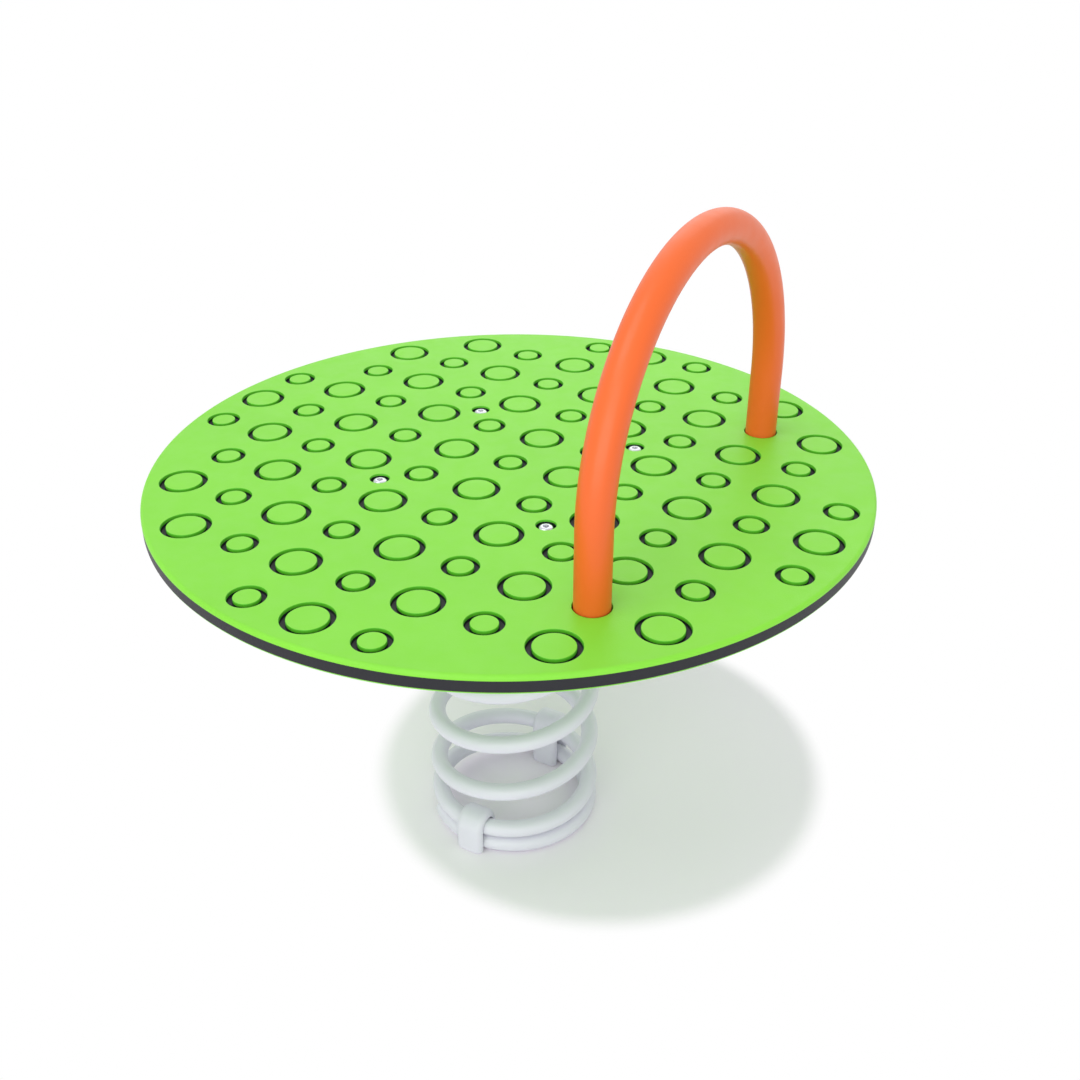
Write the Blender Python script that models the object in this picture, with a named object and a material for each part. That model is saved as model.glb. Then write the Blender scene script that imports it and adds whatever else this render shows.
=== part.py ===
"""Playground stand-on rocker: a round board on one big coil spring, with an arched handle.

Units are metres and +Z is up. The origin is on the ground, under the middle of the board.
The rider faces +X, where the handle is, with +Y on the left hand. Two strap clamps hold the
lower end of the spring to the ground, two more hold its upper end to a pressed steel dish,
and the dish is bolted under the board. The board rocks fore and aft, and from side to side,
about the middle of the spring.
"""

import math

import bmesh
import bpy
from mathutils import Matrix, Vector

# Clearances
SEAT_GAP = 0.0003
THREAD_GAP = 0.0003

# Board: one sheet of coloured polyethylene with a pattern of ring grooves in its top
STANDING_HEIGHT = 0.470
BOARD_RADIUS = 0.380
BOARD_THICKNESS = 0.019
BOARD_EDGE_ROUND = 0.004
BOARD_SIDES = 72

# Ring grooves: large and small rings take turns on a square grid, as on a chessboard
GRID_STEP = 0.068
PATTERN_RADIUS = 0.350
LARGE_RING_RADIUS = 0.025
SMALL_RING_RADIUS = 0.0185
GROOVE_WIDTH = 0.0055
GROOVE_DEPTH = 0.0065
LARGE_RING_SIDES = 14
SMALL_RING_SIDES = 10

# Handle: a steel tube bent to a half circle on two straight legs, which stand on two grid nodes
HANDLE_GRID_STEPS = 3
HANDLE_TUBE_RADIUS = 0.01685
HANDLE_TUBE_WALL = 0.0026
HANDLE_LEG_HEIGHT = 0.0725
HANDLE_HOLE_PLAY = 0.0017
HANDLE_SIDES = 16
HANDLE_BORE_SIDES = HANDLE_SIDES // 2
HANDLE_ARC_STEPS = 20

# Handle feet: a round steel flange under each leg, screwed up into the board from below
FOOT_RADIUS = 0.0475
FOOT_THICKNESS = 0.006
FOOT_DRAIN_RADIUS = 0.006
FOOT_SCREW_CIRCLE = 0.034
FOOT_SCREW_COUNT = 4
FOOT_SIDES = 24
SCREW_RADIUS = 0.004
SCREW_REACH = 0.013
SCREW_TIP_ROOM = 0.0005
SCREW_HEAD_FLATS = 0.013
SCREW_HEAD_HEIGHT = 0.0055
SCREW_FLANGE_RADIUS = 0.0085
SCREW_FLANGE_HEIGHT = 0.0015

# Spring: one wire with closed ends, right-handed, which climbs over its own cut ends
COIL_RADIUS = 0.0915
WIRE_RADIUS = 0.010
SPRING_TURNS = 8.0
END_GAP = 0.0003
FLAT_TURNS = 0.56
OPENING_TURNS = 0.7
SPRING_LIFT = 0.0005
SPRING_START_DEG = 228.0
POINTS_PER_TURN = 20
WIRE_SIDES = 6

# Spring clamps: a strap bent over the two end turns, with rounded outer edges
CLAMP_WIDTH = 0.034
CLAMP_THICKNESS = 0.008
CLAMP_EDGE_ROUND = 0.0072
CLAMP_EDGE_STEPS = 3
CLAMP_BEND_STEPS = 12
LOWER_CLAMPS_DEG = {"lower_clamp_right": 270.0, "lower_clamp_left": 90.0}
UPPER_CLAMPS_DEG = {"upper_clamp_front": 0.0, "upper_clamp_rear": 180.0}

# Studs and nuts of the upper clamps
STUD_RADIUS = 0.004
STUD_SINK = 0.003
STUD_OVER_NUT = 0.0015
CLAMP_WASHER_RADIUS = 0.008
CLAMP_WASHER_THICKNESS = 0.0016
CLAMP_NUT_FLATS = 0.013
CLAMP_NUT_HEIGHT = 0.0065

# Head dish: pressed steel sheet, with the clamp nuts in its hollow and its rim under the board
DISH_THICKNESS = 0.005
DISH_DEPTH = 0.013
DISH_WASHER_ROOM = 0.0007
DISH_WALL_SPREAD = 0.003
DISH_BEND_RADIUS = 0.0055
DISH_BEND_STEPS = 2
DISH_RIM_EDGE = 0.020
DISH_DRAIN_RADIUS = 0.015
DISH_SIDES = 36

# Board bolts: button heads sunk in the board, nuts under the rim of the dish
BOLT_WASHER_ROOM = 0.0015
BOLT_RADIUS = 0.005
BOLT_HEAD_RADIUS = 0.00875
BOLT_HEAD_HEIGHT = 0.0062
BOLT_HEAD_LAND = 0.0012
BOLT_DOME_STEPS = 3
BOLT_SOCKET_FLATS = 0.006
BOLT_SOCKET_DEPTH = 0.003
BOLT_SOCKET_RIM = 0.0004
BOLT_SINK = 0.0012
BOLT_RECESS_PLAY = 0.001
BOLT_HOLE_PLAY = 0.0005
BOLT_OVER_NUT = 0.002
BOLT_WASHER_RADIUS = 0.010
BOLT_WASHER_THICKNESS = 0.002
BOLT_NUT_FLATS = 0.016
BOLT_NUT_HEIGHT = 0.009
BOLT_PLACES_DEG = {
    "front_left": 45.0,
    "rear_left": 135.0,
    "rear_right": 225.0,
    "front_right": 315.0,
}

# Facets of bolts, screws and studs and of their holes, a multiple of 6 for the hexagons
SMALL_SIDES = 12

# Heights and places that follow from the sizes above
BOARD_BOTTOM = STANDING_HEIGHT - BOARD_THICKNESS
RIM_TOP = BOARD_BOTTOM - SEAT_GAP
RIM_BOTTOM = RIM_TOP - DISH_THICKNESS
DISH_FLOOR_TOP = RIM_TOP - DISH_DEPTH
DISH_FLOOR_BOTTOM = DISH_FLOOR_TOP - DISH_THICKNESS
SPRING_BOTTOM_AXIS = SPRING_LIFT + WIRE_RADIUS
SPRING_TOP_AXIS = DISH_FLOOR_BOTTOM - SEAT_GAP - WIRE_RADIUS
PIVOT_HEIGHT = (SPRING_BOTTOM_AXIS + SPRING_TOP_AXIS) / 2
END_CLIMB = 2 * WIRE_RADIUS + END_GAP
ACTIVE_PITCH = ((SPRING_TOP_AXIS - SPRING_BOTTOM_AXIS) / 2 - END_CLIMB) / (
    SPRING_TURNS / 2 - 1 - OPENING_TURNS / 2
)
HANDLE_REACH = HANDLE_GRID_STEPS * GRID_STEP
FOOT_TOP = BOARD_BOTTOM - SEAT_GAP
FOOT_BOTTOM = FOOT_TOP - FOOT_THICKNESS
BOLT_SEAT = STANDING_HEIGHT - BOLT_SINK - BOLT_HEAD_HEIGHT - SEAT_GAP

# Colours as linear RGB, with metallic and roughness
GREEN_SHEET = ((0.30, 0.80, 0.11), 0.0, 0.45)
ORANGE_COAT = ((1.0, 0.20, 0.06), 0.0, 0.4)
GREY_COAT = ((0.62, 0.68, 0.73), 0.0, 0.4)
ZINC = ((0.60, 0.61, 0.62), 0.9, 0.45)
STAINLESS = ((0.72, 0.72, 0.73), 1.0, 0.25)


def circle(radius, sides):
    """Corners of a regular polygon on a circle, anticlockwise. A side faces +X."""
    half = math.pi / sides
    return [
        (radius * math.cos(half * (2 * i + 1)), radius * math.sin(half * (2 * i + 1)))
        for i in range(sides)
    ]


def hexagon(flats, sides):
    """Points round a hexagon, at the angles of a circle with as many sides, a multiple of 6."""
    points = []
    for i, (x, y) in enumerate(circle(1.0, sides)):
        from_middle = math.radians(360 * i / sides % 60 - 30)
        radius = flats / 2 / math.cos(from_middle)
        points.append((radius * x, radius * y))
    return points


def arc(centre, radius, start_deg, end_deg, steps):
    """Points of an arc in a plane, both ends included."""
    angles = [math.radians(start_deg + (end_deg - start_deg) * i / steps) for i in range(steps + 1)]
    return [(centre[0] + radius * math.cos(a), centre[1] + radius * math.sin(a)) for a in angles]


def polar(radius, degrees, height=0.0):
    """A point at a radius and an angle round the upright axis."""
    angle = math.radians(degrees)
    return Vector((radius * math.cos(angle), radius * math.sin(angle), height))


def make_material(name, finish):
    """A Principled material of the part's own colour."""
    colour, metallic, roughness = finish
    material = bpy.data.materials.new(name)
    material.use_nodes = True
    shader = material.node_tree.nodes["Principled BSDF"]
    shader.inputs["Base Color"].default_value = (*colour, 1.0)
    shader.inputs["Metallic"].default_value = metallic
    shader.inputs["Roughness"].default_value = roughness
    material.diffuse_color = (*colour, 1.0)
    return material


def world_place(empty):
    """World place of an empty. No empty is turned, so its parents' places add up."""
    place = Vector((0, 0, 0))
    while empty is not None:
        place += empty.location
        empty = empty.parent
    return place


def add_object(name, data, finish, parent=None, place=(0, 0, 0), turn=(0, 0, 0)):
    """Links an object into the scene at a world place, under the empty that carries it."""
    if not data.materials:
        data.name = name
        data.materials.append(make_material(name, finish))
    obj = bpy.data.objects.new(name, data)
    bpy.context.collection.objects.link(obj)
    obj.parent = parent
    obj.location = Vector(place) - world_place(parent)
    obj.rotation_euler = turn
    return obj


def add_copies(name, mesh, finish, parent, places):
    """One object for each (label, place), all with the same mesh."""
    for label, place in places.items():
        add_object(f"{name}_{label}", mesh, finish, parent, place)


def finish_mesh(bm, sharp_deg=30):
    """Turns a bmesh into a closed, smooth shaded mesh with its faces pointing out."""
    bmesh.ops.recalc_face_normals(bm, faces=bm.faces)
    mesh = bpy.data.meshes.new("mesh")
    bm.to_mesh(mesh)
    bm.free()
    mesh.shade_smooth()
    mesh.set_sharp_from_angle(angle=math.radians(sharp_deg))
    return mesh


def bridge(bm, lower, upper):
    """Joins two rows with as many corners by a band of quads."""
    for i, corner in enumerate(lower):
        j = (i + 1) % len(lower)
        bm.faces.new((corner, lower[j], upper[j], upper[i]))


def add_ring(bm, outer, inner, bottom, top, centre=(0, 0)):
    """A prism between two loops with as many corners, open in the middle."""
    rows = []
    for loop, height in ((outer, bottom), (outer, top), (inner, top), (inner, bottom)):
        rows.append([bm.verts.new((centre[0] + x, centre[1] + y, height)) for x, y in loop])
    for lower, upper in zip(rows, rows[1:] + rows[:1]):
        bridge(bm, lower, upper)


def add_stack(bm, layers, centre=(0, 0)):
    """A solid through a stack of (loop, height) layers, closed at both ends."""
    rows = []
    for loop, height in layers:
        rows.append([bm.verts.new((centre[0] + x, centre[1] + y, height)) for x, y in loop])
    for lower, upper in zip(rows, rows[1:]):
        bridge(bm, lower, upper)
    bm.faces.new(reversed(rows[0]))
    bm.faces.new(rows[-1])


def bridge_half(bm, outer, inner):
    """Joins a row to one inside it with half as many corners, by a triangle and a quad in turn."""
    for i, corner in enumerate(inner):
        first, second = outer[2 * i], outer[2 * i + 1]
        beyond = outer[(2 * i + 2) % len(outer)]
        bm.faces.new((first, second, corner))
        bm.faces.new((corner, second, beyond, inner[(i + 1) % len(inner)]))


def add_sweep(bm, frames, outer, inner=None):
    """Sweeps a section along frames of (origin, across, out).

    An inner section, with half as many corners, leaves a bore.
    """
    loops = [outer] if inner is None else [outer, inner]
    rows = []
    for loop in loops:
        rows.append(
            [
                [bm.verts.new(origin + across * x + out * y) for x, y in loop]
                for origin, across, out in frames
            ]
        )
    for along in rows:
        for first, second in zip(along, along[1:]):
            bridge(bm, first, second)
    if inner is None:
        bm.faces.new(rows[0][0])
        bm.faces.new(rows[0][-1])
        return
    for end in (0, -1):
        bridge_half(bm, rows[0][end], rows[1][end])


def lathe(profile, sides):
    """Spins a closed profile of (radius, height) about the upright axis."""
    bm = bmesh.new()
    corners = [bm.verts.new((radius, 0, height)) for radius, height in profile]
    edges = [bm.edges.new((a, b)) for a, b in zip(corners, corners[1:] + corners[:1])]
    bmesh.ops.rotate(bm, verts=corners, cent=(0, 0, 0), matrix=Matrix.Rotation(math.pi / sides, 3, "Z"))
    bmesh.ops.spin(
        bm,
        geom=corners + edges,
        cent=(0, 0, 0),
        axis=(0, 0, 1),
        dvec=(0, 0, 0),
        angle=2 * math.pi,
        steps=sides,
        use_merge=True,
    )
    return bm


def add_cutter(name, mesh, parent, place):
    """A hidden body for a Boolean modifier."""
    cutter = add_object(name, mesh, ZINC, parent, place)
    cutter.hide_render = True
    cutter.display_type = "WIRE"
    return cutter


def use_boolean(obj, other, operation):
    """Cuts or joins another body with Blender's exact solver."""
    modifier = obj.modifiers.new(other.name, "BOOLEAN")
    modifier.object = other
    modifier.operation = operation
    modifier.solver = "EXACT"


def ring_places():
    """Centre and outer radius of every ring: one on each grid node but those under the handle."""
    reach = int(PATTERN_RADIUS / GRID_STEP)
    for column in range(-reach, reach + 1):
        for row in range(-reach, reach + 1):
            under_handle = column == HANDLE_GRID_STEPS and abs(row) == HANDLE_GRID_STEPS
            if under_handle or math.hypot(column, row) * GRID_STEP > PATTERN_RADIUS:
                continue
            large = (column + row) % 2 == 1
            yield (column * GRID_STEP, row * GRID_STEP), large


def handle_feet():
    """Name and place of the handle's two feet."""
    return {"left": (HANDLE_REACH, HANDLE_REACH), "right": (HANDLE_REACH, -HANDLE_REACH)}


def foot_screw_places():
    """Places of the screws in a handle foot, on the diagonals."""
    step = 360 / FOOT_SCREW_COUNT
    return [polar(FOOT_SCREW_CIRCLE, step * (i + 0.5)).to_2d() for i in range(FOOT_SCREW_COUNT)]


def board_cutter():
    """Every groove and hole of the board in one body, in the frame of the board's underside."""
    bm = bmesh.new()
    over = BOARD_THICKNESS + GROOVE_DEPTH
    for centre, large in ring_places():
        radius = LARGE_RING_RADIUS if large else SMALL_RING_RADIUS
        sides = LARGE_RING_SIDES if large else SMALL_RING_SIDES
        island = circle(radius - GROOVE_WIDTH, sides)
        add_ring(bm, circle(radius, sides), island, BOARD_THICKNESS - GROOVE_DEPTH, over, centre)
    recess = circle(BOLT_HEAD_RADIUS + BOLT_RECESS_PLAY, SMALL_SIDES)
    shaft = circle(BOLT_RADIUS + BOLT_HOLE_PLAY, SMALL_SIDES)
    seat = BOLT_SEAT - BOARD_BOTTOM
    for degrees in BOLT_PLACES_DEG.values():
        add_stack(
            bm,
            [(shaft, -GROOVE_DEPTH), (shaft, seat), (recess, seat), (recess, over)],
            polar(bolt_circle(), degrees).to_2d(),
        )
    leg = circle(HANDLE_TUBE_RADIUS + HANDLE_HOLE_PLAY, HANDLE_SIDES)
    pilot = circle(SCREW_RADIUS + THREAD_GAP, SMALL_SIDES)
    for foot in handle_feet().values():
        add_stack(bm, [(leg, -GROOVE_DEPTH), (leg, over)], foot)
        for screw in foot_screw_places():
            place = screw + Vector(foot)
            add_stack(bm, [(pilot, -GROOVE_DEPTH), (pilot, SCREW_REACH + SCREW_TIP_ROOM)], place)
    return finish_mesh(bm)


def build_board(parent):
    """The round board, grooved and bored by one cutter. Its sides touch the true circle."""
    rim = BOARD_EDGE_ROUND
    to_corner = 1 / math.cos(math.pi / BOARD_SIDES)
    side = arc((BOARD_RADIUS - rim, rim), rim, -90, 0, 2)
    side += arc((BOARD_RADIUS - rim, BOARD_THICKNESS - rim), rim, 0, 90, 2)
    bm = bmesh.new()
    add_stack(bm, [(circle(radius * to_corner, BOARD_SIDES), height) for radius, height in side])
    place = (0, 0, BOARD_BOTTOM)
    board = add_object("board", finish_mesh(bm), GREEN_SHEET, parent, place)
    use_boolean(board, add_cutter("board_cutter", board_cutter(), parent, place), "DIFFERENCE")


def build_handle(parent):
    """The arched tube, from one foot up, over and down to the other."""
    centre = HANDLE_LEG_HEIGHT + BOARD_THICKNESS
    across = Vector((1, 0, 0))
    frames = [(Vector((0, HANDLE_REACH, 0)), across, Vector((0, 1, 0)))]
    for y, z in arc((0, centre), HANDLE_REACH, 0, 180, HANDLE_ARC_STEPS):
        out = Vector((0, y, z - centre)).normalized()
        frames.append((Vector((0, y, z)), across, out))
    frames.append((Vector((0, -HANDLE_REACH, 0)), across, Vector((0, -1, 0))))
    bm = bmesh.new()
    bore = circle(HANDLE_TUBE_RADIUS - HANDLE_TUBE_WALL, HANDLE_BORE_SIDES)
    add_sweep(bm, frames, circle(HANDLE_TUBE_RADIUS, HANDLE_SIDES), bore)
    place = (HANDLE_REACH, 0, BOARD_BOTTOM)
    add_object("handle", finish_mesh(bm), ORANGE_COAT, parent, place)


def build_handle_foot(side, foot, parent):
    """A foot flange with a drain hole, bored for its screws."""
    bm = bmesh.new()
    drain = circle(FOOT_DRAIN_RADIUS, FOOT_SIDES)
    add_ring(bm, circle(FOOT_RADIUS, FOOT_SIDES), drain, 0, FOOT_THICKNESS)
    place = Vector((*foot, FOOT_BOTTOM))
    flange = add_object(f"handle_foot_{side}", finish_mesh(bm), ZINC, parent, place)
    bore = circle(SCREW_RADIUS + THREAD_GAP, SMALL_SIDES)
    bm = bmesh.new()
    for screw in foot_screw_places():
        add_stack(bm, [(bore, -FOOT_THICKNESS), (bore, 2 * FOOT_THICKNESS)], screw)
    use_boolean(flange, add_cutter(f"foot_cutter_{side}", finish_mesh(bm), parent, place), "DIFFERENCE")


def build_foot_screws(parent):
    """Hexagon screws with a pressed-on washer face, driven up through the feet."""
    shank = circle(SCREW_RADIUS, SMALL_SIDES)
    washer_face = circle(SCREW_FLANGE_RADIUS, SMALL_SIDES)
    head = hexagon(SCREW_HEAD_FLATS, SMALL_SIDES)
    layers = [(head, -SCREW_FLANGE_HEIGHT - SCREW_HEAD_HEIGHT), (head, -SCREW_FLANGE_HEIGHT)]
    layers += [(washer_face, -SCREW_FLANGE_HEIGHT), (washer_face, 0)]
    layers += [(shank, 0), (shank, BOARD_BOTTOM + SCREW_REACH - (FOOT_BOTTOM - SEAT_GAP))]
    bm = bmesh.new()
    add_stack(bm, layers)
    places = {}
    for side, foot in handle_feet().items():
        for number, screw in enumerate(foot_screw_places(), start=1):
            place = screw + Vector(foot)
            places[f"{side}_{number}"] = Vector((*place, FOOT_BOTTOM - SEAT_GAP))
    add_copies("foot_screw", finish_mesh(bm), ZINC, parent, places)


def smooth_step(x):
    """Rises from 0 to 1 with level ends."""
    x = min(max(x, 0.0), 1.0)
    return x * x * (3 - 2 * x)


def end_rise(turns):
    """Height of the wire over its cut end, a number of turns further on.

    The wire lies flat, climbs by END_CLIMB to lie on its own end after one turn, then opens
    to the active pitch p: rise = END_CLIMB + p * v * v / (2 * w) while v < w, where v is the
    number of turns past the first and w is OPENING_TURNS, and with slope p from there.
    """
    climb = END_CLIMB * smooth_step((turns - FLAT_TURNS) / (1 - FLAT_TURNS))
    past = max(turns - 1, 0.0)
    if past < OPENING_TURNS:
        return climb + ACTIVE_PITCH * past * past / (2 * OPENING_TURNS)
    return climb + ACTIVE_PITCH * (past - OPENING_TURNS / 2)


def spring_height(turns):
    """Height of the wire's axis at a number of turns from its lower end. Both ends are alike."""
    if turns <= SPRING_TURNS / 2:
        return SPRING_BOTTOM_AXIS + end_rise(turns)
    return SPRING_TOP_AXIS - end_rise(SPRING_TURNS - turns)


def spring_points():
    """Points on the wire's axis, evenly spaced in angle."""
    points = []
    for i in range(round(SPRING_TURNS * POINTS_PER_TURN) + 1):
        turns = i / POINTS_PER_TURN
        points.append(polar(COIL_RADIUS, SPRING_START_DEG + 360 * turns, spring_height(turns)))
    return points


def least_turn_gap(points):
    """Least gap between the wire and itself, over points more than half a turn apart."""
    apart = POINTS_PER_TURN // 2
    least = min(
        (point - other).length
        for i, point in enumerate(points)
        for other in points[i + apart :]
    )
    return least - 2 * WIRE_RADIUS


def build_spring(parent):
    """The spring as one bevelled curve along its wire.

    The wire's section is turned by a quarter of a facet, to reach as far down as sideways.
    """
    points = spring_points()
    print(f"spring: pitch {1000 * ACTIVE_PITCH:.1f} mm, least gap {1000 * least_turn_gap(points):.2f} mm")
    curve = bpy.data.curves.new("spring", "CURVE")
    curve.dimensions = "3D"
    curve.twist_mode = "Z_UP"
    curve.bevel_depth = WIRE_RADIUS
    curve.bevel_resolution = 1
    curve.use_fill_caps = True
    spline = curve.splines.new("POLY")
    spline.points.add(len(points) - 1)
    for knot, point in zip(spline.points, points):
        knot.co = (*(point - world_place(parent)), 1.0)
        knot.tilt = math.pi / 2 / WIRE_SIDES
    spline.use_smooth = True
    add_object("spring", curve, GREY_COAT, parent, world_place(parent))


def clamp_bend(turn_height):
    """Where a strap bends: radius from the spring's axis, height and radius of the inside.

    The strap is straight across its width and the wire is curved, so its inner leg stands
    clear of the wire at the strap's edges, and the bend clears both.
    """
    half = CLAMP_WIDTH / 2
    outer = COIL_RADIUS + WIRE_RADIUS + SEAT_GAP
    chord = (COIL_RADIUS - WIRE_RADIUS) * math.cos(math.pi / POINTS_PER_TURN)
    inner = math.sqrt(chord * chord - half * half) - SEAT_GAP
    return (outer + inner) / 2, turn_height, (outer - inner) / 2


def clamp_section():
    """Cross-section of the strap, as (across, out) from the middle of its inside face."""
    half = CLAMP_WIDTH / 2
    flat = half - CLAMP_EDGE_ROUND
    low = CLAMP_THICKNESS - CLAMP_EDGE_ROUND
    section = [(-half, 0.0), (half, 0.0)]
    section += arc((flat, low), CLAMP_EDGE_ROUND, 0, 90, CLAMP_EDGE_STEPS)
    section += arc((-flat, low), CLAMP_EDGE_ROUND, 90, 180, CLAMP_EDGE_STEPS)
    return section


def wire_over_foot(clamp_deg, cut_end_deg, winding):
    """Height of the second turn's axis in a clamp over the flat first turn's.

    The highest point over the strap's width counts. Winding is 1 at the lower end, where the
    wire climbs anticlockwise, and -1 at the upper end.
    """
    turns = (winding * (clamp_deg - cut_end_deg) % 360) / 360 + 1
    half_width = CLAMP_WIDTH / 2 / (2 * math.pi * (COIL_RADIUS - WIRE_RADIUS))
    return end_rise(turns + half_width)


def add_clamp(bm, wire_height):
    """A strap standing on the ground in the XZ plane, bent over a wire at this height."""
    middle, height, inside = clamp_bend(wire_height)
    across = Vector((0, 1, 0))
    frames = [(Vector((middle + inside, 0, 0)), across, Vector((1, 0, 0)))]
    for x, z in arc((middle, height), inside, 0, 180, CLAMP_BEND_STEPS):
        out = Vector((x - middle, 0, z - height)).normalized()
        frames.append((Vector((x, 0, z)), across, out))
    frames.append((Vector((middle - inside, 0, 0)), across, Vector((-1, 0, 0))))
    add_sweep(bm, frames, clamp_section())


def clamp_legs():
    """Distance of the middle of each leg of a clamp from the spring's axis."""
    middle, _, inside = clamp_bend(0)
    reach = inside + CLAMP_THICKNESS / 2
    return {"outer": middle + reach, "inner": middle - reach}


def dish_flat():
    """Radius of the dish's flat floor, just past the washers of the outer clamp legs."""
    return clamp_legs()["outer"] + CLAMP_WASHER_RADIUS + DISH_WASHER_ROOM


def bolt_circle():
    """Radius of the circle of board bolts, whose washers lie just outside the dish's wall."""
    wall = dish_flat() + 2 * DISH_BEND_RADIUS + DISH_WALL_SPREAD
    return wall + BOLT_WASHER_ROOM + BOLT_WASHER_RADIUS


def build_lower_clamp(name, degrees, parent):
    """A clamp with both feet on the ground, over the two lowest turns."""
    height = SPRING_BOTTOM_AXIS + wire_over_foot(degrees, SPRING_START_DEG, 1)
    bm = bmesh.new()
    add_clamp(bm, height)
    turn = (0, 0, math.radians(degrees))
    add_object(name, finish_mesh(bm), GREY_COAT, parent, (0, 0, 0), turn)


def build_upper_clamp(name, degrees, parent):
    """The same strap upside down under the dish, with a threaded stud on each leg."""
    cut_end = SPRING_START_DEG + 360 * SPRING_TURNS
    bm = bmesh.new()
    add_clamp(bm, WIRE_RADIUS + wire_over_foot(degrees, cut_end, -1))
    seat = DISH_FLOOR_BOTTOM - SEAT_GAP
    turn = (math.pi, 0, math.radians(degrees))
    clamp = add_object(name, finish_mesh(bm), GREY_COAT, parent, (0, 0, seat), turn)

    tip = DISH_FLOOR_TOP + 2 * SEAT_GAP + CLAMP_WASHER_THICKNESS + CLAMP_NUT_HEIGHT + STUD_OVER_NUT
    stud = circle(STUD_RADIUS, SMALL_SIDES)
    bm = bmesh.new()
    for leg in clamp_legs().values():
        add_stack(bm, [(stud, seat - STUD_SINK), (stud, tip)], polar(leg, degrees).to_2d())
    use_boolean(clamp, add_cutter(f"{name}_studs", finish_mesh(bm), parent, (0, 0, 0)), "UNION")


def build_clamp_nuts(parent):
    """Washers and nuts on the studs of the upper clamps, in the hollow of the dish."""
    seats = {}
    for name, degrees in UPPER_CLAMPS_DEG.items():
        for side, leg in clamp_legs().items():
            label = f"{name.rsplit('_', 1)[1]}_{side}"
            seats[label] = polar(leg, degrees, DISH_FLOOR_TOP + SEAT_GAP)
    bore = circle(STUD_RADIUS + THREAD_GAP, SMALL_SIDES)
    bm = bmesh.new()
    add_ring(bm, circle(CLAMP_WASHER_RADIUS, SMALL_SIDES), bore, 0, CLAMP_WASHER_THICKNESS)
    add_copies("clamp_washer", finish_mesh(bm), ZINC, parent, seats)
    bm = bmesh.new()
    add_ring(bm, hexagon(CLAMP_NUT_FLATS, SMALL_SIDES), bore, 0, CLAMP_NUT_HEIGHT)
    over_washer = Vector((0, 0, CLAMP_WASHER_THICKNESS + SEAT_GAP))
    places = {label: seat + over_washer for label, seat in seats.items()}
    add_copies("clamp_nut", finish_mesh(bm), ZINC, parent, places)


def offset_path(points, distance):
    """Shifts an open path in the XZ plane to its left, with mitred corners."""
    shifted = []
    for i, (x, z) in enumerate(points):
        before = Vector(points[max(i - 1, 0)])
        here = Vector((x, z))
        after = Vector(points[min(i + 1, len(points) - 1)])
        ways = [way.normalized() for way in (here - before, after - here) if way.length > 0]
        lefts = [Vector((-way.y, way.x)) for way in ways]
        mean = sum(lefts, Vector((0, 0))).normalized()
        shifted.append(tuple(here + mean * (distance / mean.dot(lefts[0]))))
    return shifted


def dish_midline():
    """Middle of the dish's sheet from the drain hole out to the rim, as (radius, height)."""
    floor = DISH_FLOOR_TOP - DISH_THICKNESS / 2
    rim = RIM_TOP - DISH_THICKNESS / 2
    bend = DISH_BEND_RADIUS
    slope = math.degrees(math.atan2(DISH_DEPTH - 2 * bend, DISH_WALL_SPREAD))
    low = (dish_flat(), floor + bend)
    high = (dish_flat() + 2 * bend + DISH_WALL_SPREAD, rim - bend)
    path = [(DISH_DRAIN_RADIUS, floor)]
    path += arc(low, bend, -90, slope - 90, DISH_BEND_STEPS)
    path += arc(high, bend, slope + 90, 90, DISH_BEND_STEPS)
    path.append((bolt_circle() + DISH_RIM_EDGE, rim))
    return path


def build_dish(parent):
    """The head dish, spun from its sheet's profile and bored for studs and bolts."""
    midline = dish_midline()
    upper = offset_path(midline, DISH_THICKNESS / 2)
    lower = offset_path(midline, -DISH_THICKNESS / 2)
    dish = add_object("head_dish", finish_mesh(lathe(lower + upper[::-1], DISH_SIDES)), ZINC, parent)

    bm = bmesh.new()
    over = DISH_THICKNESS
    stud = circle(STUD_RADIUS + THREAD_GAP, SMALL_SIDES)
    for degrees in UPPER_CLAMPS_DEG.values():
        for leg in clamp_legs().values():
            layers = [(stud, DISH_FLOOR_BOTTOM - over), (stud, DISH_FLOOR_TOP + over)]
            add_stack(bm, layers, polar(leg, degrees).to_2d())
    bolt = circle(BOLT_RADIUS + BOLT_HOLE_PLAY, SMALL_SIDES)
    for degrees in BOLT_PLACES_DEG.values():
        layers = [(bolt, RIM_BOTTOM - over), (bolt, RIM_TOP + over)]
        add_stack(bm, layers, polar(bolt_circle(), degrees).to_2d())
    use_boolean(dish, add_cutter("dish_cutter", finish_mesh(bm), parent, (0, 0, 0)), "DIFFERENCE")


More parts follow.
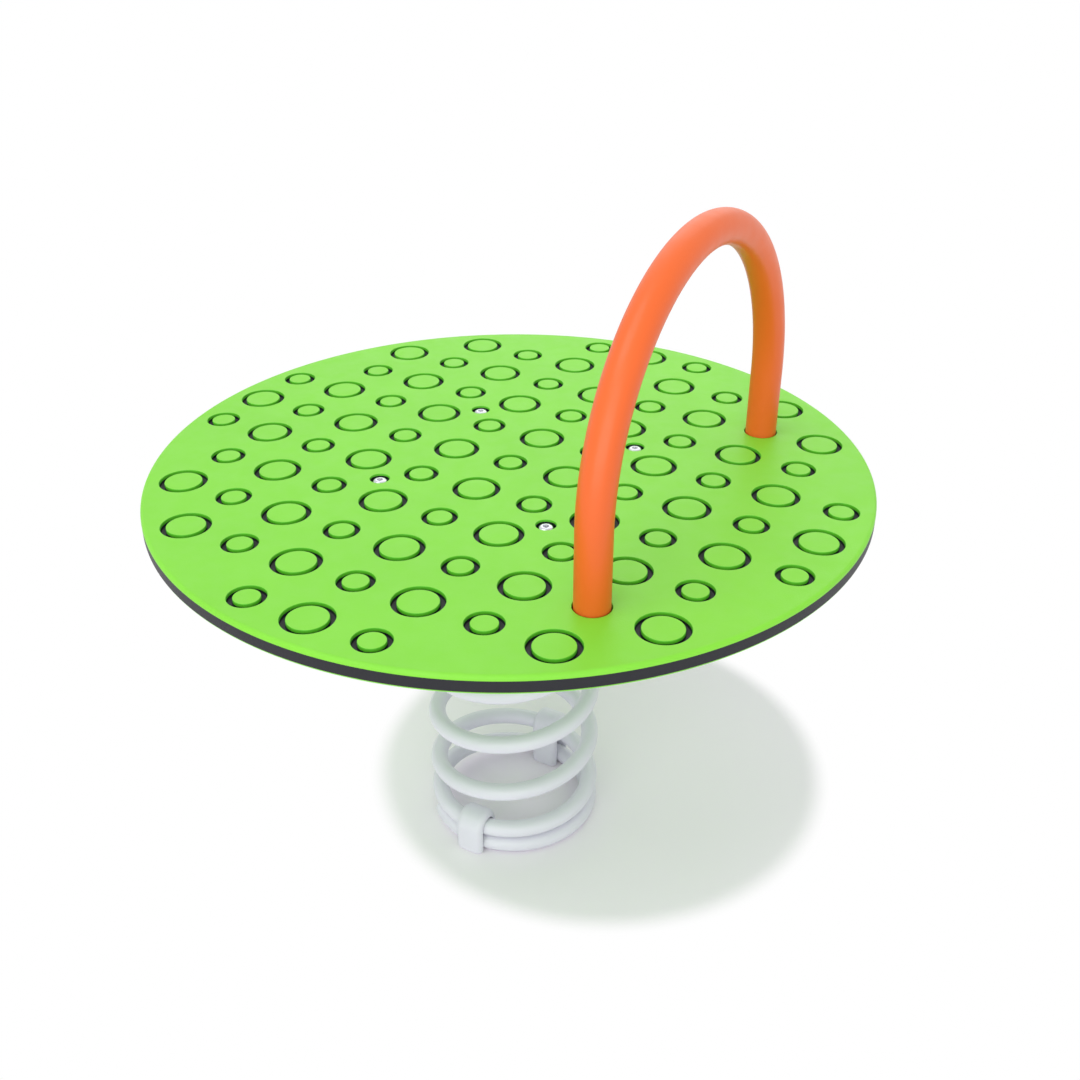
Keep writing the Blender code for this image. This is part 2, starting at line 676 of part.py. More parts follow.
def build_board_bolts(parent):
    """Button head bolts through board and dish, with their hexagon sockets."""
    shank = circle(BOLT_RADIUS, SMALL_SIDES)
    head = circle(BOLT_HEAD_RADIUS, SMALL_SIDES)
    tip = bolt_nut_seat() - BOLT_NUT_HEIGHT - BOLT_OVER_NUT - BOLT_SEAT
    layers = [(shank, tip), (shank, SEAT_GAP), (head, SEAT_GAP)]
    dome = BOLT_HEAD_HEIGHT - BOLT_HEAD_LAND
    top_radius = BOLT_SOCKET_FLATS / math.sqrt(3) + BOLT_SOCKET_RIM
    for across, up in arc((0, 0), 1.0, 0, 90, BOLT_DOME_STEPS):
        radius = top_radius + (BOLT_HEAD_RADIUS - top_radius) * across
        layers.append((circle(radius, SMALL_SIDES), SEAT_GAP + BOLT_HEAD_LAND + dome * up))
    bm = bmesh.new()
    add_stack(bm, layers)
    bolt = finish_mesh(bm)
    bm = bmesh.new()
    socket = hexagon(BOLT_SOCKET_FLATS, SMALL_SIDES)
    top = SEAT_GAP + BOLT_HEAD_HEIGHT
    add_stack(bm, [(socket, top - BOLT_SOCKET_DEPTH), (socket, top + BOLT_SOCKET_DEPTH)])
    socket = finish_mesh(bm)
    for corner, degrees in BOLT_PLACES_DEG.items():
        place = polar(bolt_circle(), degrees, BOLT_SEAT)
        obj = add_object(f"board_bolt_{corner}", bolt, STAINLESS, parent, place)
        use_boolean(obj, add_cutter(f"socket_{corner}", socket, parent, place), "DIFFERENCE")


def bolt_nut_seat():
    """Height of the top of a board bolt's nut, under its washer."""
    return RIM_BOTTOM - SEAT_GAP - BOLT_WASHER_THICKNESS - SEAT_GAP


def build_board_nuts(parent):
    """Washers and nuts of the board bolts, under the rim of the dish."""
    bore = circle(BOLT_RADIUS + THREAD_GAP, SMALL_SIDES)
    bm = bmesh.new()
    add_ring(bm, circle(BOLT_WASHER_RADIUS, SMALL_SIDES), bore, -BOLT_WASHER_THICKNESS, 0)
    places = {c: polar(bolt_circle(), a, RIM_BOTTOM - SEAT_GAP) for c, a in BOLT_PLACES_DEG.items()}
    add_copies("board_washer", finish_mesh(bm), STAINLESS, parent, places)
    bm = bmesh.new()
    add_ring(bm, hexagon(BOLT_NUT_FLATS, SMALL_SIDES), bore, -BOLT_NUT_HEIGHT, 0)
    places = {c: polar(bolt_circle(), a, bolt_nut_seat()) for c, a in BOLT_PLACES_DEG.items()}
    add_copies("board_nut", finish_mesh(bm), STAINLESS, parent, places)


def add_empty(name, parent, place):
    """An empty that carries a body, on its joint's axis."""
    empty = bpy.data.objects.new(name, None)
    bpy.context.collection.objects.link(empty)
    empty.parent = parent
    empty.location = Vector(place) - world_place(parent)
    return empty


def main():
    """Builds the rocker: the ground's pieces, then the spring, then all that rocks on it."""
    for obj in list(bpy.data.objects):
        bpy.data.objects.remove(obj, do_unlink=True)

    ground = add_empty("ground", None, (0, 0, 0))
    pitch_pivot = add_empty("pitch_pivot", ground, (0, 0, PIVOT_HEIGHT))
    roll_pivot = add_empty("roll_pivot", pitch_pivot, (0, 0, PIVOT_HEIGHT))

    for name, degrees in LOWER_CLAMPS_DEG.items():
        build_lower_clamp(name, degrees, ground)
    build_spring(pitch_pivot)
    for name, degrees in UPPER_CLAMPS_DEG.items():
        build_upper_clamp(name, degrees, roll_pivot)
    build_dish(roll_pivot)
    build_clamp_nuts(roll_pivot)
    build_board(roll_pivot)
    build_board_bolts(roll_pivot)
    build_board_nuts(roll_pivot)
    build_handle(roll_pivot)
    for side, foot in handle_feet().items():
        build_handle_foot(side, foot, roll_pivot)
    build_foot_screws(roll_pivot)


main()
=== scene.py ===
"""Looks of a playground stand-on rocker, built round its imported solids.

A round board of green and black polyethylene stands on one coil spring. A tube bent to an arch
is the handle. Straps hold the spring to the ground and to a pressed dish under the board.

Every surface is a grid of points worked out with numpy. Lengths are metres, +Z is up, and the
origin lies on the ground under the middle of the board. The rider faces +X.
"""

from __future__ import annotations

import logging
import math
from collections.abc import Iterable, Sequence
from dataclasses import dataclass, replace
from enum import Enum, IntEnum

import bmesh
import bpy
import numpy as np
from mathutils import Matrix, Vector

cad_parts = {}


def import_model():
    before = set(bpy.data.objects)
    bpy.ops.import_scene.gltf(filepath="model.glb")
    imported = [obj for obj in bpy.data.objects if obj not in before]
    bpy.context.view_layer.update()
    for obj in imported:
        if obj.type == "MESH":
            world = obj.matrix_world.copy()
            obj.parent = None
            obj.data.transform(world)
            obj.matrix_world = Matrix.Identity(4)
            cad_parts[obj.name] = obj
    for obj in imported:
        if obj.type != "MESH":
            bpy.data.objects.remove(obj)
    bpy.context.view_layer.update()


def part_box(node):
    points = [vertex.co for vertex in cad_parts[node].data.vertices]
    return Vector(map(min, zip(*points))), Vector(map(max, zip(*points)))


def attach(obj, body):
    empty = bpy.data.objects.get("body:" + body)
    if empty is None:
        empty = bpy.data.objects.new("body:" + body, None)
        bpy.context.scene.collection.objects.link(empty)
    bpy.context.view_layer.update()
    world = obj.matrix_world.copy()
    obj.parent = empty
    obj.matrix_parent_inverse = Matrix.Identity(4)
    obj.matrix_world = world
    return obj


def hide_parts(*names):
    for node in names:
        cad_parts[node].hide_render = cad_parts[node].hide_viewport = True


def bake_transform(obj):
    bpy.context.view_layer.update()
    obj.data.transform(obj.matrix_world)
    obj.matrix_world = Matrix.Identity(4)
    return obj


Array = np.ndarray
Colour = tuple[float, float, float]
Socket = bpy.types.NodeSocket

LOG = logging.getLogger("rocker")

# Directions of the board's bolts, and of the screws round a leg, in degrees
DIAGONALS = (45.0, 135.0, 225.0, 315.0)
ORIGIN = np.zeros((1, 2))
# Gap between pieces that bear on each other
SEAT_GAP = 0.0003
# Gap between a thread and the bore round it
THREAD_PLAY = 0.0003
# Values between which a noise mostly lies
NOISE_SPAN = (0.3, 0.7)
# Distance between the bands of a wave texture whose scale is 1
WAVE_LENGTH = 2 * math.pi / 20


class Body(Enum):
    """The rigid bodies that pieces ride on."""

    GROUND = "ground"
    SPRING = "spring"
    PLATFORM = "platform"


class Slot(Enum):
    """Material slots of the part's record."""

    BOARD = "board_sheet"
    HANDLE = "handle_coat"
    SPRING = "spring_coat"
    ZINC = "zinc_steel"
    STAINLESS = "stainless_steel"


class End(Enum):
    """The row of a grid that a fan closes."""

    FIRST = 0
    LAST = -1


class Layer(IntEnum):
    """What a face of the board shows, as its material number."""

    SKIN = 0
    # Routed wall, its colour darkened as painted shade
    CUT_AND_SHADE = 1
    CORE = 2
    # Groove floor, its colour lightened as painted light from above
    PAINTED_LIT_FLOOR = 3


# Materials


def feed(node: bpy.types.Node, inputs: dict[str | int, object]) -> None:
    """Gives a node's inputs what they need.

    Args:
        node: The node.
        inputs: For each input, the socket that feeds it or its constant value.
    """
    for name, value in inputs.items():
        if isinstance(value, Socket):
            node.id_data.links.new(value, node.inputs[name])
        else:
            node.inputs[name].default_value = value


def add_node(
    tree: bpy.types.NodeTree, kind: str, inputs: dict[str | int, object], **options: str
) -> bpy.types.NodeOutputs:
    """Adds a shader node to a tree.

    Args:
        tree: The tree that gets it.
        kind: Type of the node.
        inputs: For each input, the socket that feeds it or its constant value.
        options: Settings of the node.

    Returns:
        The node's outputs.
    """
    node = tree.nodes.new(kind)
    for name, option in options.items():
        setattr(node, name, option)
    feed(node, inputs)
    return node.outputs


@dataclass(frozen=True)
class Finish:
    """A surface with a mottled colour, a grain and an uneven gloss.

    Attributes:
        name: Name of the material.
        slot: Slot of the record that it belongs to. Not used.
        colour: Linear RGB.
        roughness: Middle of the roughness.
        metallic: 1 for bare metal.
        mottle: Share by which the colour goes darker and lighter.
        mottle_size: Size of the patches.
        grain: Height of the grain.
        grain_size: Size of one bump of the grain.
        gloss_spread: How far the roughness strays from its middle.
        gloss_parts: How many patches of gloss lie across one patch of colour.
        coat: Weight of a clear layer over the colour.
        coat_roughness: Roughness of that layer.
        lines: Height of tool lines round the upright axis. None where it is 0.
        line_step: Distance from one tool line to the next.
        line_stray: How unevenly the tool lines run.
    """

    name: str
    slot: Slot
    colour: Colour
    roughness: float
    metallic: float = 0.0
    mottle: float = 0.02
    mottle_size: float = 0.05
    grain: float = 0.00002
    grain_size: float = 0.0012
    gloss_spread: float = 0.04
    gloss_parts: float = 6.0
    coat: float = 0.0
    coat_roughness: float = 0.12
    lines: float = 0.0
    line_step: float = 0.0008
    line_stray: float = 0.6

    def material(self) -> bpy.types.Material:
        """The finish as a material, made once."""
        return bpy.data.materials.get(self.name) or self.make()

    def make(self) -> bpy.types.Material:
        """Builds the material.

        Returns:
            A material whose patterns follow Object coordinates.
        """
        material = bpy.data.materials.new(self.name)
        material.use_nodes = True
        material.diffuse_color = (*self.colour, 1.0)
        tree = material.node_tree
        place = add_node(tree, "ShaderNodeTexCoord", {})["Object"]
        inputs = {
            "Base Color": self.tone(place),
            "Roughness": self.gloss(place),
            "Normal": self.relief(place),
            "Metallic": self.metallic,
            "Coat Weight": self.coat,
            "Coat Roughness": self.coat_roughness,
        }
        feed(tree.nodes["Principled BSDF"], inputs)
        return material

    def noise(self, place: Socket, size: float, detail: float) -> Socket:
        """Adds a noise with features of a size, in so many octaves, to the coordinates' tree."""
        inputs = {"Vector": place, "Scale": 1.0 / size, "Detail": detail}
        return add_node(place.id_data, "ShaderNodeTexNoise", inputs)["Fac"]

    def tone(self, place: Socket) -> Socket:
        """Lets the colour stray between a darker and a lighter tone in soft patches.

        Args:
            place: Coordinates.

        Returns:
            The colour.
        """
        ramp = place.id_data.nodes.new("ShaderNodeValToRGB")
        feed(ramp, {"Fac": self.noise(place, self.mottle_size, detail=4.0)})
        for stop, position, share in zip(ramp.color_ramp.elements, NOISE_SPAN, (-1.0, 1.0)):
            tone = [min(value * (1.0 + share * self.mottle), 1.0) for value in self.colour]
            stop.position = position
            stop.color = (*tone, 1.0)
        return ramp.outputs["Color"]

    def gloss(self, place: Socket) -> Socket:
        """Lets the roughness stray about its middle in small patches.

        Args:
            place: Coordinates.

        Returns:
            The roughness.
        """
        inputs = {
            "Value": self.noise(place, self.mottle_size / self.gloss_parts, detail=3.0),
            "From Min": NOISE_SPAN[0],
            "From Max": NOISE_SPAN[1],
            "To Min": self.roughness - self.gloss_spread,
            "To Max": self.roughness + self.gloss_spread,
        }
        return add_node(place.id_data, "ShaderNodeMapRange", inputs)["Result"]

    def relief(self, place: Socket) -> Socket:
        """Makes bumps of the grain, and of the tool lines where the finish has them.

        Args:
            place: Coordinates.

        Returns:
            The normal.
        """
        tree = place.id_data
        grain = self.noise(place, self.grain_size, detail=2.0)
        inputs = {"Height": grain, "Distance": self.grain}
        normal = add_node(tree, "ShaderNodeBump", inputs)["Normal"]
        if self.lines > 0:
            scale = WAVE_LENGTH / self.line_step
            inputs = {"Vector": place, "Scale": scale, "Distortion": self.line_stray}
            bands = {"wave_type": "BANDS", "bands_direction": "Z"}
            wave = add_node(tree, "ShaderNodeTexWave", inputs, **bands)["Fac"]
            inputs = {"Height": wave, "Distance": self.lines, "Normal": normal}
            normal = add_node(tree, "ShaderNodeBump", inputs)["Normal"]
        return normal


GREEN_SKIN = Finish(
    name="green_skin",
    slot=Slot.BOARD,
    colour=(0.234, 0.738, 0.035),
    roughness=0.5,
    mottle=0.025,
    mottle_size=0.09,
    grain=0.00010,
    grain_size=0.0016,
    gloss_spread=0.05,
)
# Routed walls of the grooves and holes, with tool lines. Their colour is darker and deeper green
# than the skin: painted shade, standing for the shade and green bounce inside the cuts.
GREEN_CUT_AND_SHADE = Finish(
    name="green_cut_and_shade",
    slot=Slot.BOARD,
    colour=(0.114, 0.585, 0.019),
    roughness=0.5,
    mottle=0.04,
    mottle_size=0.01,
    grain=0.00003,
    grain_size=0.0008,
    lines=0.00003,
    line_step=0.0009,
)
BLACK_CORE = replace(
    GREEN_CUT_AND_SHADE,
    name="black_core",
    colour=(0.0050, 0.0055, 0.0105),
    mottle=0.12,
    mottle_size=0.012,
    grain=0.00004,
    lines=0.00004,
)
# Floor of the grooves: a lighter copy of the black core, painted lit, standing for light that falls
# in from above.
BLACK_FLOOR_PAINTED_LIT = replace(
    BLACK_CORE,
    name="black_floor_painted_lit",
    colour=(0.040, 0.036, 0.047),
    roughness=0.55,
    grain=0.00005,
    lines=0.0,
)
ORANGE_COAT = Finish(
    name="orange_coat",
    slot=Slot.HANDLE,
    colour=(0.872, 0.138, 0.014),
    roughness=0.42,
    mottle_size=0.12,
    grain=0.00006,
    grain_size=0.0026,
    coat=0.1,
)
GREY_COAT = replace(
    ORANGE_COAT,
    name="grey_coat",
    slot=Slot.SPRING,
    colour=(0.725, 0.733, 0.785),
    mottle_size=0.08,
    grain=0.00007,
)
ZINC = Finish(
    name="zinc_plate",
    slot=Slot.ZINC,
    colour=(0.62, 0.63, 0.65),
    roughness=0.4,
    metallic=1.0,
    mottle=0.10,
    mottle_size=0.012,
    grain=0.00003,
    grain_size=0.0015,
    gloss_spread=0.09,
)
STAINLESS = Finish(
    name="stainless",
    slot=Slot.STAINLESS,
    colour=(0.63, 0.64, 0.68),
    roughness=0.24,
    metallic=1.0,
    mottle=0.03,
    mottle_size=0.006,
    grain=0.00001,
    grain_size=0.0006,
    gloss_spread=0.06,
)
# Near-black copy of the stainless on the socket's walls and floor: painted shade in the hollow.
SOCKET_PAINTED_SHADE = replace(
    STAINLESS,
    name="socket_painted_shade",
    colour=(0.08, 0.08, 0.085),
    roughness=0.45,
    mottle=0.05,
    mottle_size=0.002,
    gloss_spread=0.04,
)


# Shapes


def polar(radius: float, degrees: Array | Sequence[float]) -> Array:
    """(x, y) places on a circle round the origin."""
    angle = np.radians(degrees)
    return radius * np.stack([np.cos(angle), np.sin(angle)], axis=1)


def arc(centre: Sequence[float], radius: float, start: float, end: float, steps: int) -> Array:
    """Points centre + radius * (cos a, sin a) with a from start to end degrees in steps."""
    return np.asarray(centre) + polar(radius, np.linspace(start, end, steps + 1))


def leg_places(reach: float) -> Array:
    """(x, y) of the left and of the right leg of the handle."""
    return np.array([(1, 1), (1, -1)]) * reach


def turns(sides: int) -> Array:
    """Angles of the columns of a turned surface, in radians."""
    return 2 * np.pi * (np.arange(sides) + 0.5) / sides


def hexagon(sides: int, flats: float) -> Array:
    """Radius of a hexagon at each column: (flats / 2) / cos of the angle from a flat's middle."""
    return flats / 2 / np.cos(turns(sides) % (np.pi / 3) - np.pi / 6)


def outlined(radii: Array, heights: Array, centres: Array) -> Array:
    """A surface round upright axes: (x, y, z) = (cx + r(u, v) cos v, cy + r(u, v) sin v, z(u)).

    Args:
        radii: Radius at each row and column.
        heights: Height of each row.
        centres: (x, y) of each axis.

    Returns:
        Array of copies, rows, columns and 3.
    """
    angle = turns(radii.shape[1])
    points = np.empty((len(centres), *radii.shape, 3))
    points[..., 0] = centres[:, None, None, 0] + radii * np.cos(angle)
    points[..., 1] = centres[:, None, None, 1] + radii * np.sin(angle)
    points[..., 2] = heights[:, None]
    return points


def turned(profile: Array, sides: int, centres: Array = ORIGIN) -> Array:
    """A profile of (radius, height) rows turned about upright axes, as a round outlined surface."""
    return outlined(np.repeat(profile[:, :1], sides, axis=1), profile[:, 1], centres)


def swept(path: Array, across: Array, out: Array, section: Array) -> Array:
    """A section carried along a path: P(u, v) = path(u) + s(v) across(u) + t(v) out(u).

    Args:
        path: Point of each row. The path runs along across x out.
        across: Unit vector of the section's first axis at each row, or one for all.
        out: Unit vector of its second axis, likewise.
        section: (s, t) of each column, anticlockwise, or of each row and column.

    Returns:
        Array of 1, rows, columns and 3.
    """
    first = np.broadcast_to(across, path.shape)[:, None]
    second = np.broadcast_to(out, path.shape)[:, None]
    points = path[:, None] + section[..., :1] * first + section[..., 1:] * second
    return points[None]


def hoop(leg: Array, top: float, radius: float, steps: int) -> tuple[Array, Array]:
    """A path up a leg, over the half circle (R cos a, top + R sin a) and down the other leg.

    Args:
        leg: Heights of a leg's rows, from its foot to short of the half circle.
        top: Height of the half circle's middle.
        radius: R, half the distance between the legs.
        steps: Pieces that the half circle is cut into.

    Returns:
        (across, height) of each row, and the unit vector that points out of the hoop there.
    """
    angle = np.linspace(0, np.pi, steps + 1)
    side = np.tile([1.0, 0.0], (len(leg), 1))
    out = np.concatenate([side, np.stack([np.cos(angle), np.sin(angle)], axis=1), -side])
    height = np.concatenate([leg, np.full(steps + 1, top), leg[::-1]])
    return radius * out + np.stack([np.zeros_like(height), height], axis=1), out


def turned_over(points: Array, height: float) -> Array:
    """The same surface upside down about a height, its faces still pointing out."""
    return points[:, :, ::-1] * [1, 1, -1] + [0, 0, 2 * height]


class Skin:
    """A mesh gathered from grids of points, with a material number for each band of faces."""

    def __init__(self) -> None:
        """Starts with no points and no faces."""
        self.points: list[Array] = []
        self.faces: list[Array] = []
        self.numbers: list[Array] = []
        self.count = 0

    def add_grids(
        self, points: Array, bands: int | Sequence[int] = 0, wrap_rows: bool = False
    ) -> Array:
        """Adds grids whose columns close on themselves.

        Args:
            points: Array of copies, rows, columns and 3.
            bands: Material number, or one for each band between two rows.
            wrap_rows: Whether the last row is joined to the first.

        Returns:
            Number of each point, as an array of copies, rows and columns.
        """
        shape = points.shape[:3]
        index = self.count + np.arange(math.prod(shape)).reshape(shape)
        self.points.append(points.reshape(-1, 3))
        self.count += index.size
        rows = np.concatenate([index, index[:, :1]], axis=1) if wrap_rows else index
        beside = np.roll(rows, -1, axis=2)
        quads = np.stack([rows[:, :-1], beside[:, :-1], beside[:, 1:], rows[:, 1:]], axis=-1)
        numbers = np.broadcast_to(np.asarray(bands).reshape(1, -1, 1), quads.shape[:3])
        self.faces.append(quads.reshape(-1, 4))
        self.numbers.append(numbers.reshape(-1))
        return index

    def close(self, index: Array, ends: Iterable[End] = tuple(End), band: int = 0) -> None:
        """Closes grids at their ends, each by a fan to the middle of its end row.

        Args:
            index: Number of each point, as an array of copies, rows and columns.
            ends: The ends that are closed.
            band: Material number.
        """
        known = np.concatenate(self.points)
        for end in ends:
            rows = index[:, end.value]
            self.points.append(known[rows].mean(axis=1))
            tips = self.count + np.arange(len(rows))
            self.count += len(rows)
            beside = np.roll(rows, -1, axis=1)
            pair = (rows, beside) if end is End.LAST else (beside, rows)
            fan = np.stack([*pair, np.broadcast_to(tips[:, None], rows.shape)], axis=-1)
            self.faces.append(fan.reshape(-1, 3))
            self.numbers.append(np.full(rows.size, band))

    def make(
        self,
        name: str,
        finishes: Sequence[Finish],
        nodes: Sequence[str],
        body: Body | None = Body.PLATFORM,
        sharp: float = 40.0,
    ) -> bpy.types.Object:
        """Turns the gathered grids into a piece in the place of its solids.

        Args:
            name: Name of the piece.
            finishes: Its finishes, in the order of the material numbers.
            nodes: Solids that it stands for.
            body: The body that carries it. None leaves it on no body.
            sharp: Angle in degrees above which an edge stays sharp.

        Returns:
            The piece, smooth shaded, at the origin.
        """
        mesh = bpy.data.meshes.new(name)
        points = np.concatenate(self.points).astype(np.float32)
        corners = np.concatenate([face.reshape(-1) for face in self.faces])
        sizes = np.concatenate([np.full(len(face), face.shape[1]) for face in self.faces])
        mesh.vertices.add(len(points))
        mesh.vertices.foreach_set("co", points.reshape(-1))
        mesh.loops.add(len(corners))
        mesh.loops.foreach_set("vertex_index", corners.astype(np.int32))
        mesh.polygons.add(len(sizes))
        starts = np.concatenate([[0], np.cumsum(sizes)[:-1]]).astype(np.int32)
        mesh.polygons.foreach_set("loop_start", starts)
        numbers = np.concatenate(self.numbers).astype(np.int32)
        mesh.polygons.foreach_set("material_index", numbers)
        mesh.update(calc_edges=True)
        for finish in finishes:
            mesh.materials.append(finish.material())
        mesh.shade_smooth()
        mesh.set_sharp_from_angle(angle=math.radians(sharp))
        piece = bpy.data.objects.new(name, mesh)
        bpy.context.collection.objects.link(piece)
        if body is not None:
            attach(piece, body.value)
        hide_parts(*nodes)
        LOG.info("%s stands for %s", name, ", ".join(nodes))
        return piece


# Fasteners


@dataclass(frozen=True)
class HexHead:
    """A hexagon head or nut, chamfered on its outer end, with a round collar where it has one.

    The side at height z has the radius min(hexagon, c + (top - z) * sqrt 3), where c is the
    chamfer's radius at the end face.
    """

    flats: float
    height: float
    collar: float = 0.0
    collar_height: float = 0.0
    bore: float = 0.0
    end_share: float = 0.95
    chamfer_rows: int = 7
    sides: int = 48

    def add_to(
        self, skin: Skin, centres: Array, seat: float, upside_down: bool = False
    ) -> None:
        """Adds the heads to a skin, standing on a seat or hanging under it.

        Args:
            skin: The skin that gets them.
            centres: (x, y) of each head.
            seat: Height of the face that they bear on.
            upside_down: Whether they hang under the seat.
        """
        corner = hexagon(self.sides, self.flats)
        end = self.end_share * self.flats / 2
        drop = (corner.max() - end) / math.sqrt(3)
        foot = seat + self.collar_height
        top = foot + self.height
        heights = np.concatenate([[foot], top - drop * np.linspace(1, 0, self.chamfer_rows)])
        side = np.minimum(corner, (end + (top - heights) * math.sqrt(3))[:, None])
        if self.collar > 0:
            edge = self.collar_height / 3
            lower = self.collar - np.array([[edge], [0], [0], [edge]])
            rise = np.array([0, edge, self.collar_height - edge, self.collar_height])
            side = np.concatenate([np.repeat(lower, self.sides, axis=1), side])
            heights = np.concatenate([seat + rise, heights])
        if self.bore > 0:
            side = np.concatenate([side, np.full((2, self.sides), self.bore)])
            heights = np.concatenate([heights, [top, seat]])
        points = outlined(side, heights, centres)
        if upside_down:
            points = turned_over(points, seat)
        index = skin.add_grids(points, wrap_rows=self.bore > 0)
        if self.bore == 0:
            skin.close(index)


@dataclass(frozen=True)
class Ring:
    """A flat ring, its edges quarter rounds of a few steps, or chamfers of one step."""

    radius: float
    bore: float
    thickness: float
    edge: float = 0.0003
    edge_steps: int = 1
    sides: int = 40

    def add_to(self, skin: Skin, centres: Array, bottom: float) -> None:
        """Adds a ring at each place.

        Args:
            skin: The skin that gets them.
            centres: (x, y) of each ring.
            bottom: Height of their lower face.
        """
        edge, steps = self.edge, self.edge_steps
        near, far = self.bore + edge, self.radius - edge
        low, high = bottom + edge, bottom + self.thickness - edge
        rows = [
            arc((near, low), edge, 180, 270, steps),
            arc((far, low), edge, -90, 0, steps),
            arc((far, high), edge, 0, 90, steps),
            arc((near, high), edge, 90, 180, steps),
        ]
        skin.add_grids(turned(np.concatenate(rows), self.sides, centres), wrap_rows=True)


@dataclass(frozen=True)
class Thread:
    """A threaded rod: r(v, z) = radius - depth * tri(z / pitch - v / 2 pi), tri a triangle wave.

    The thread's depth is a share of its pitch, and it runs out over one pitch at both ends.
    """

    radius: float
    pitch: float
    depth_share: float = 0.45
    rows_per_pitch: int = 6
    sides: int = 32

    def add_to(self, skin: Skin, centres: Array, low: float, high: float) -> None:
        """Adds a rod at each place, closed at both ends.

        Args:
            skin: The skin that gets them.
            centres: (x, y) of each rod.
            low: Height of its lower end.
            high: Height of its upper end.
        """
        count = max(round((high - low) / self.pitch * self.rows_per_pitch), 2)
        z = np.linspace(low, high, count + 1)
        phase = (z[:, None] / self.pitch - turns(self.sides) / (2 * np.pi)) % 1
        depth = self.depth_share * self.pitch
        radii = self.radius - depth * (1 - np.abs(2 * phase - 1))
        fade = np.minimum(z - low, high - z)[:, None] / self.pitch
        radii = np.minimum(radii, self.radius - depth * (1 - np.clip(fade, 0, 1)))
        skin.close(skin.add_grids(outlined(radii, z, centres)))


# Sub-assemblies


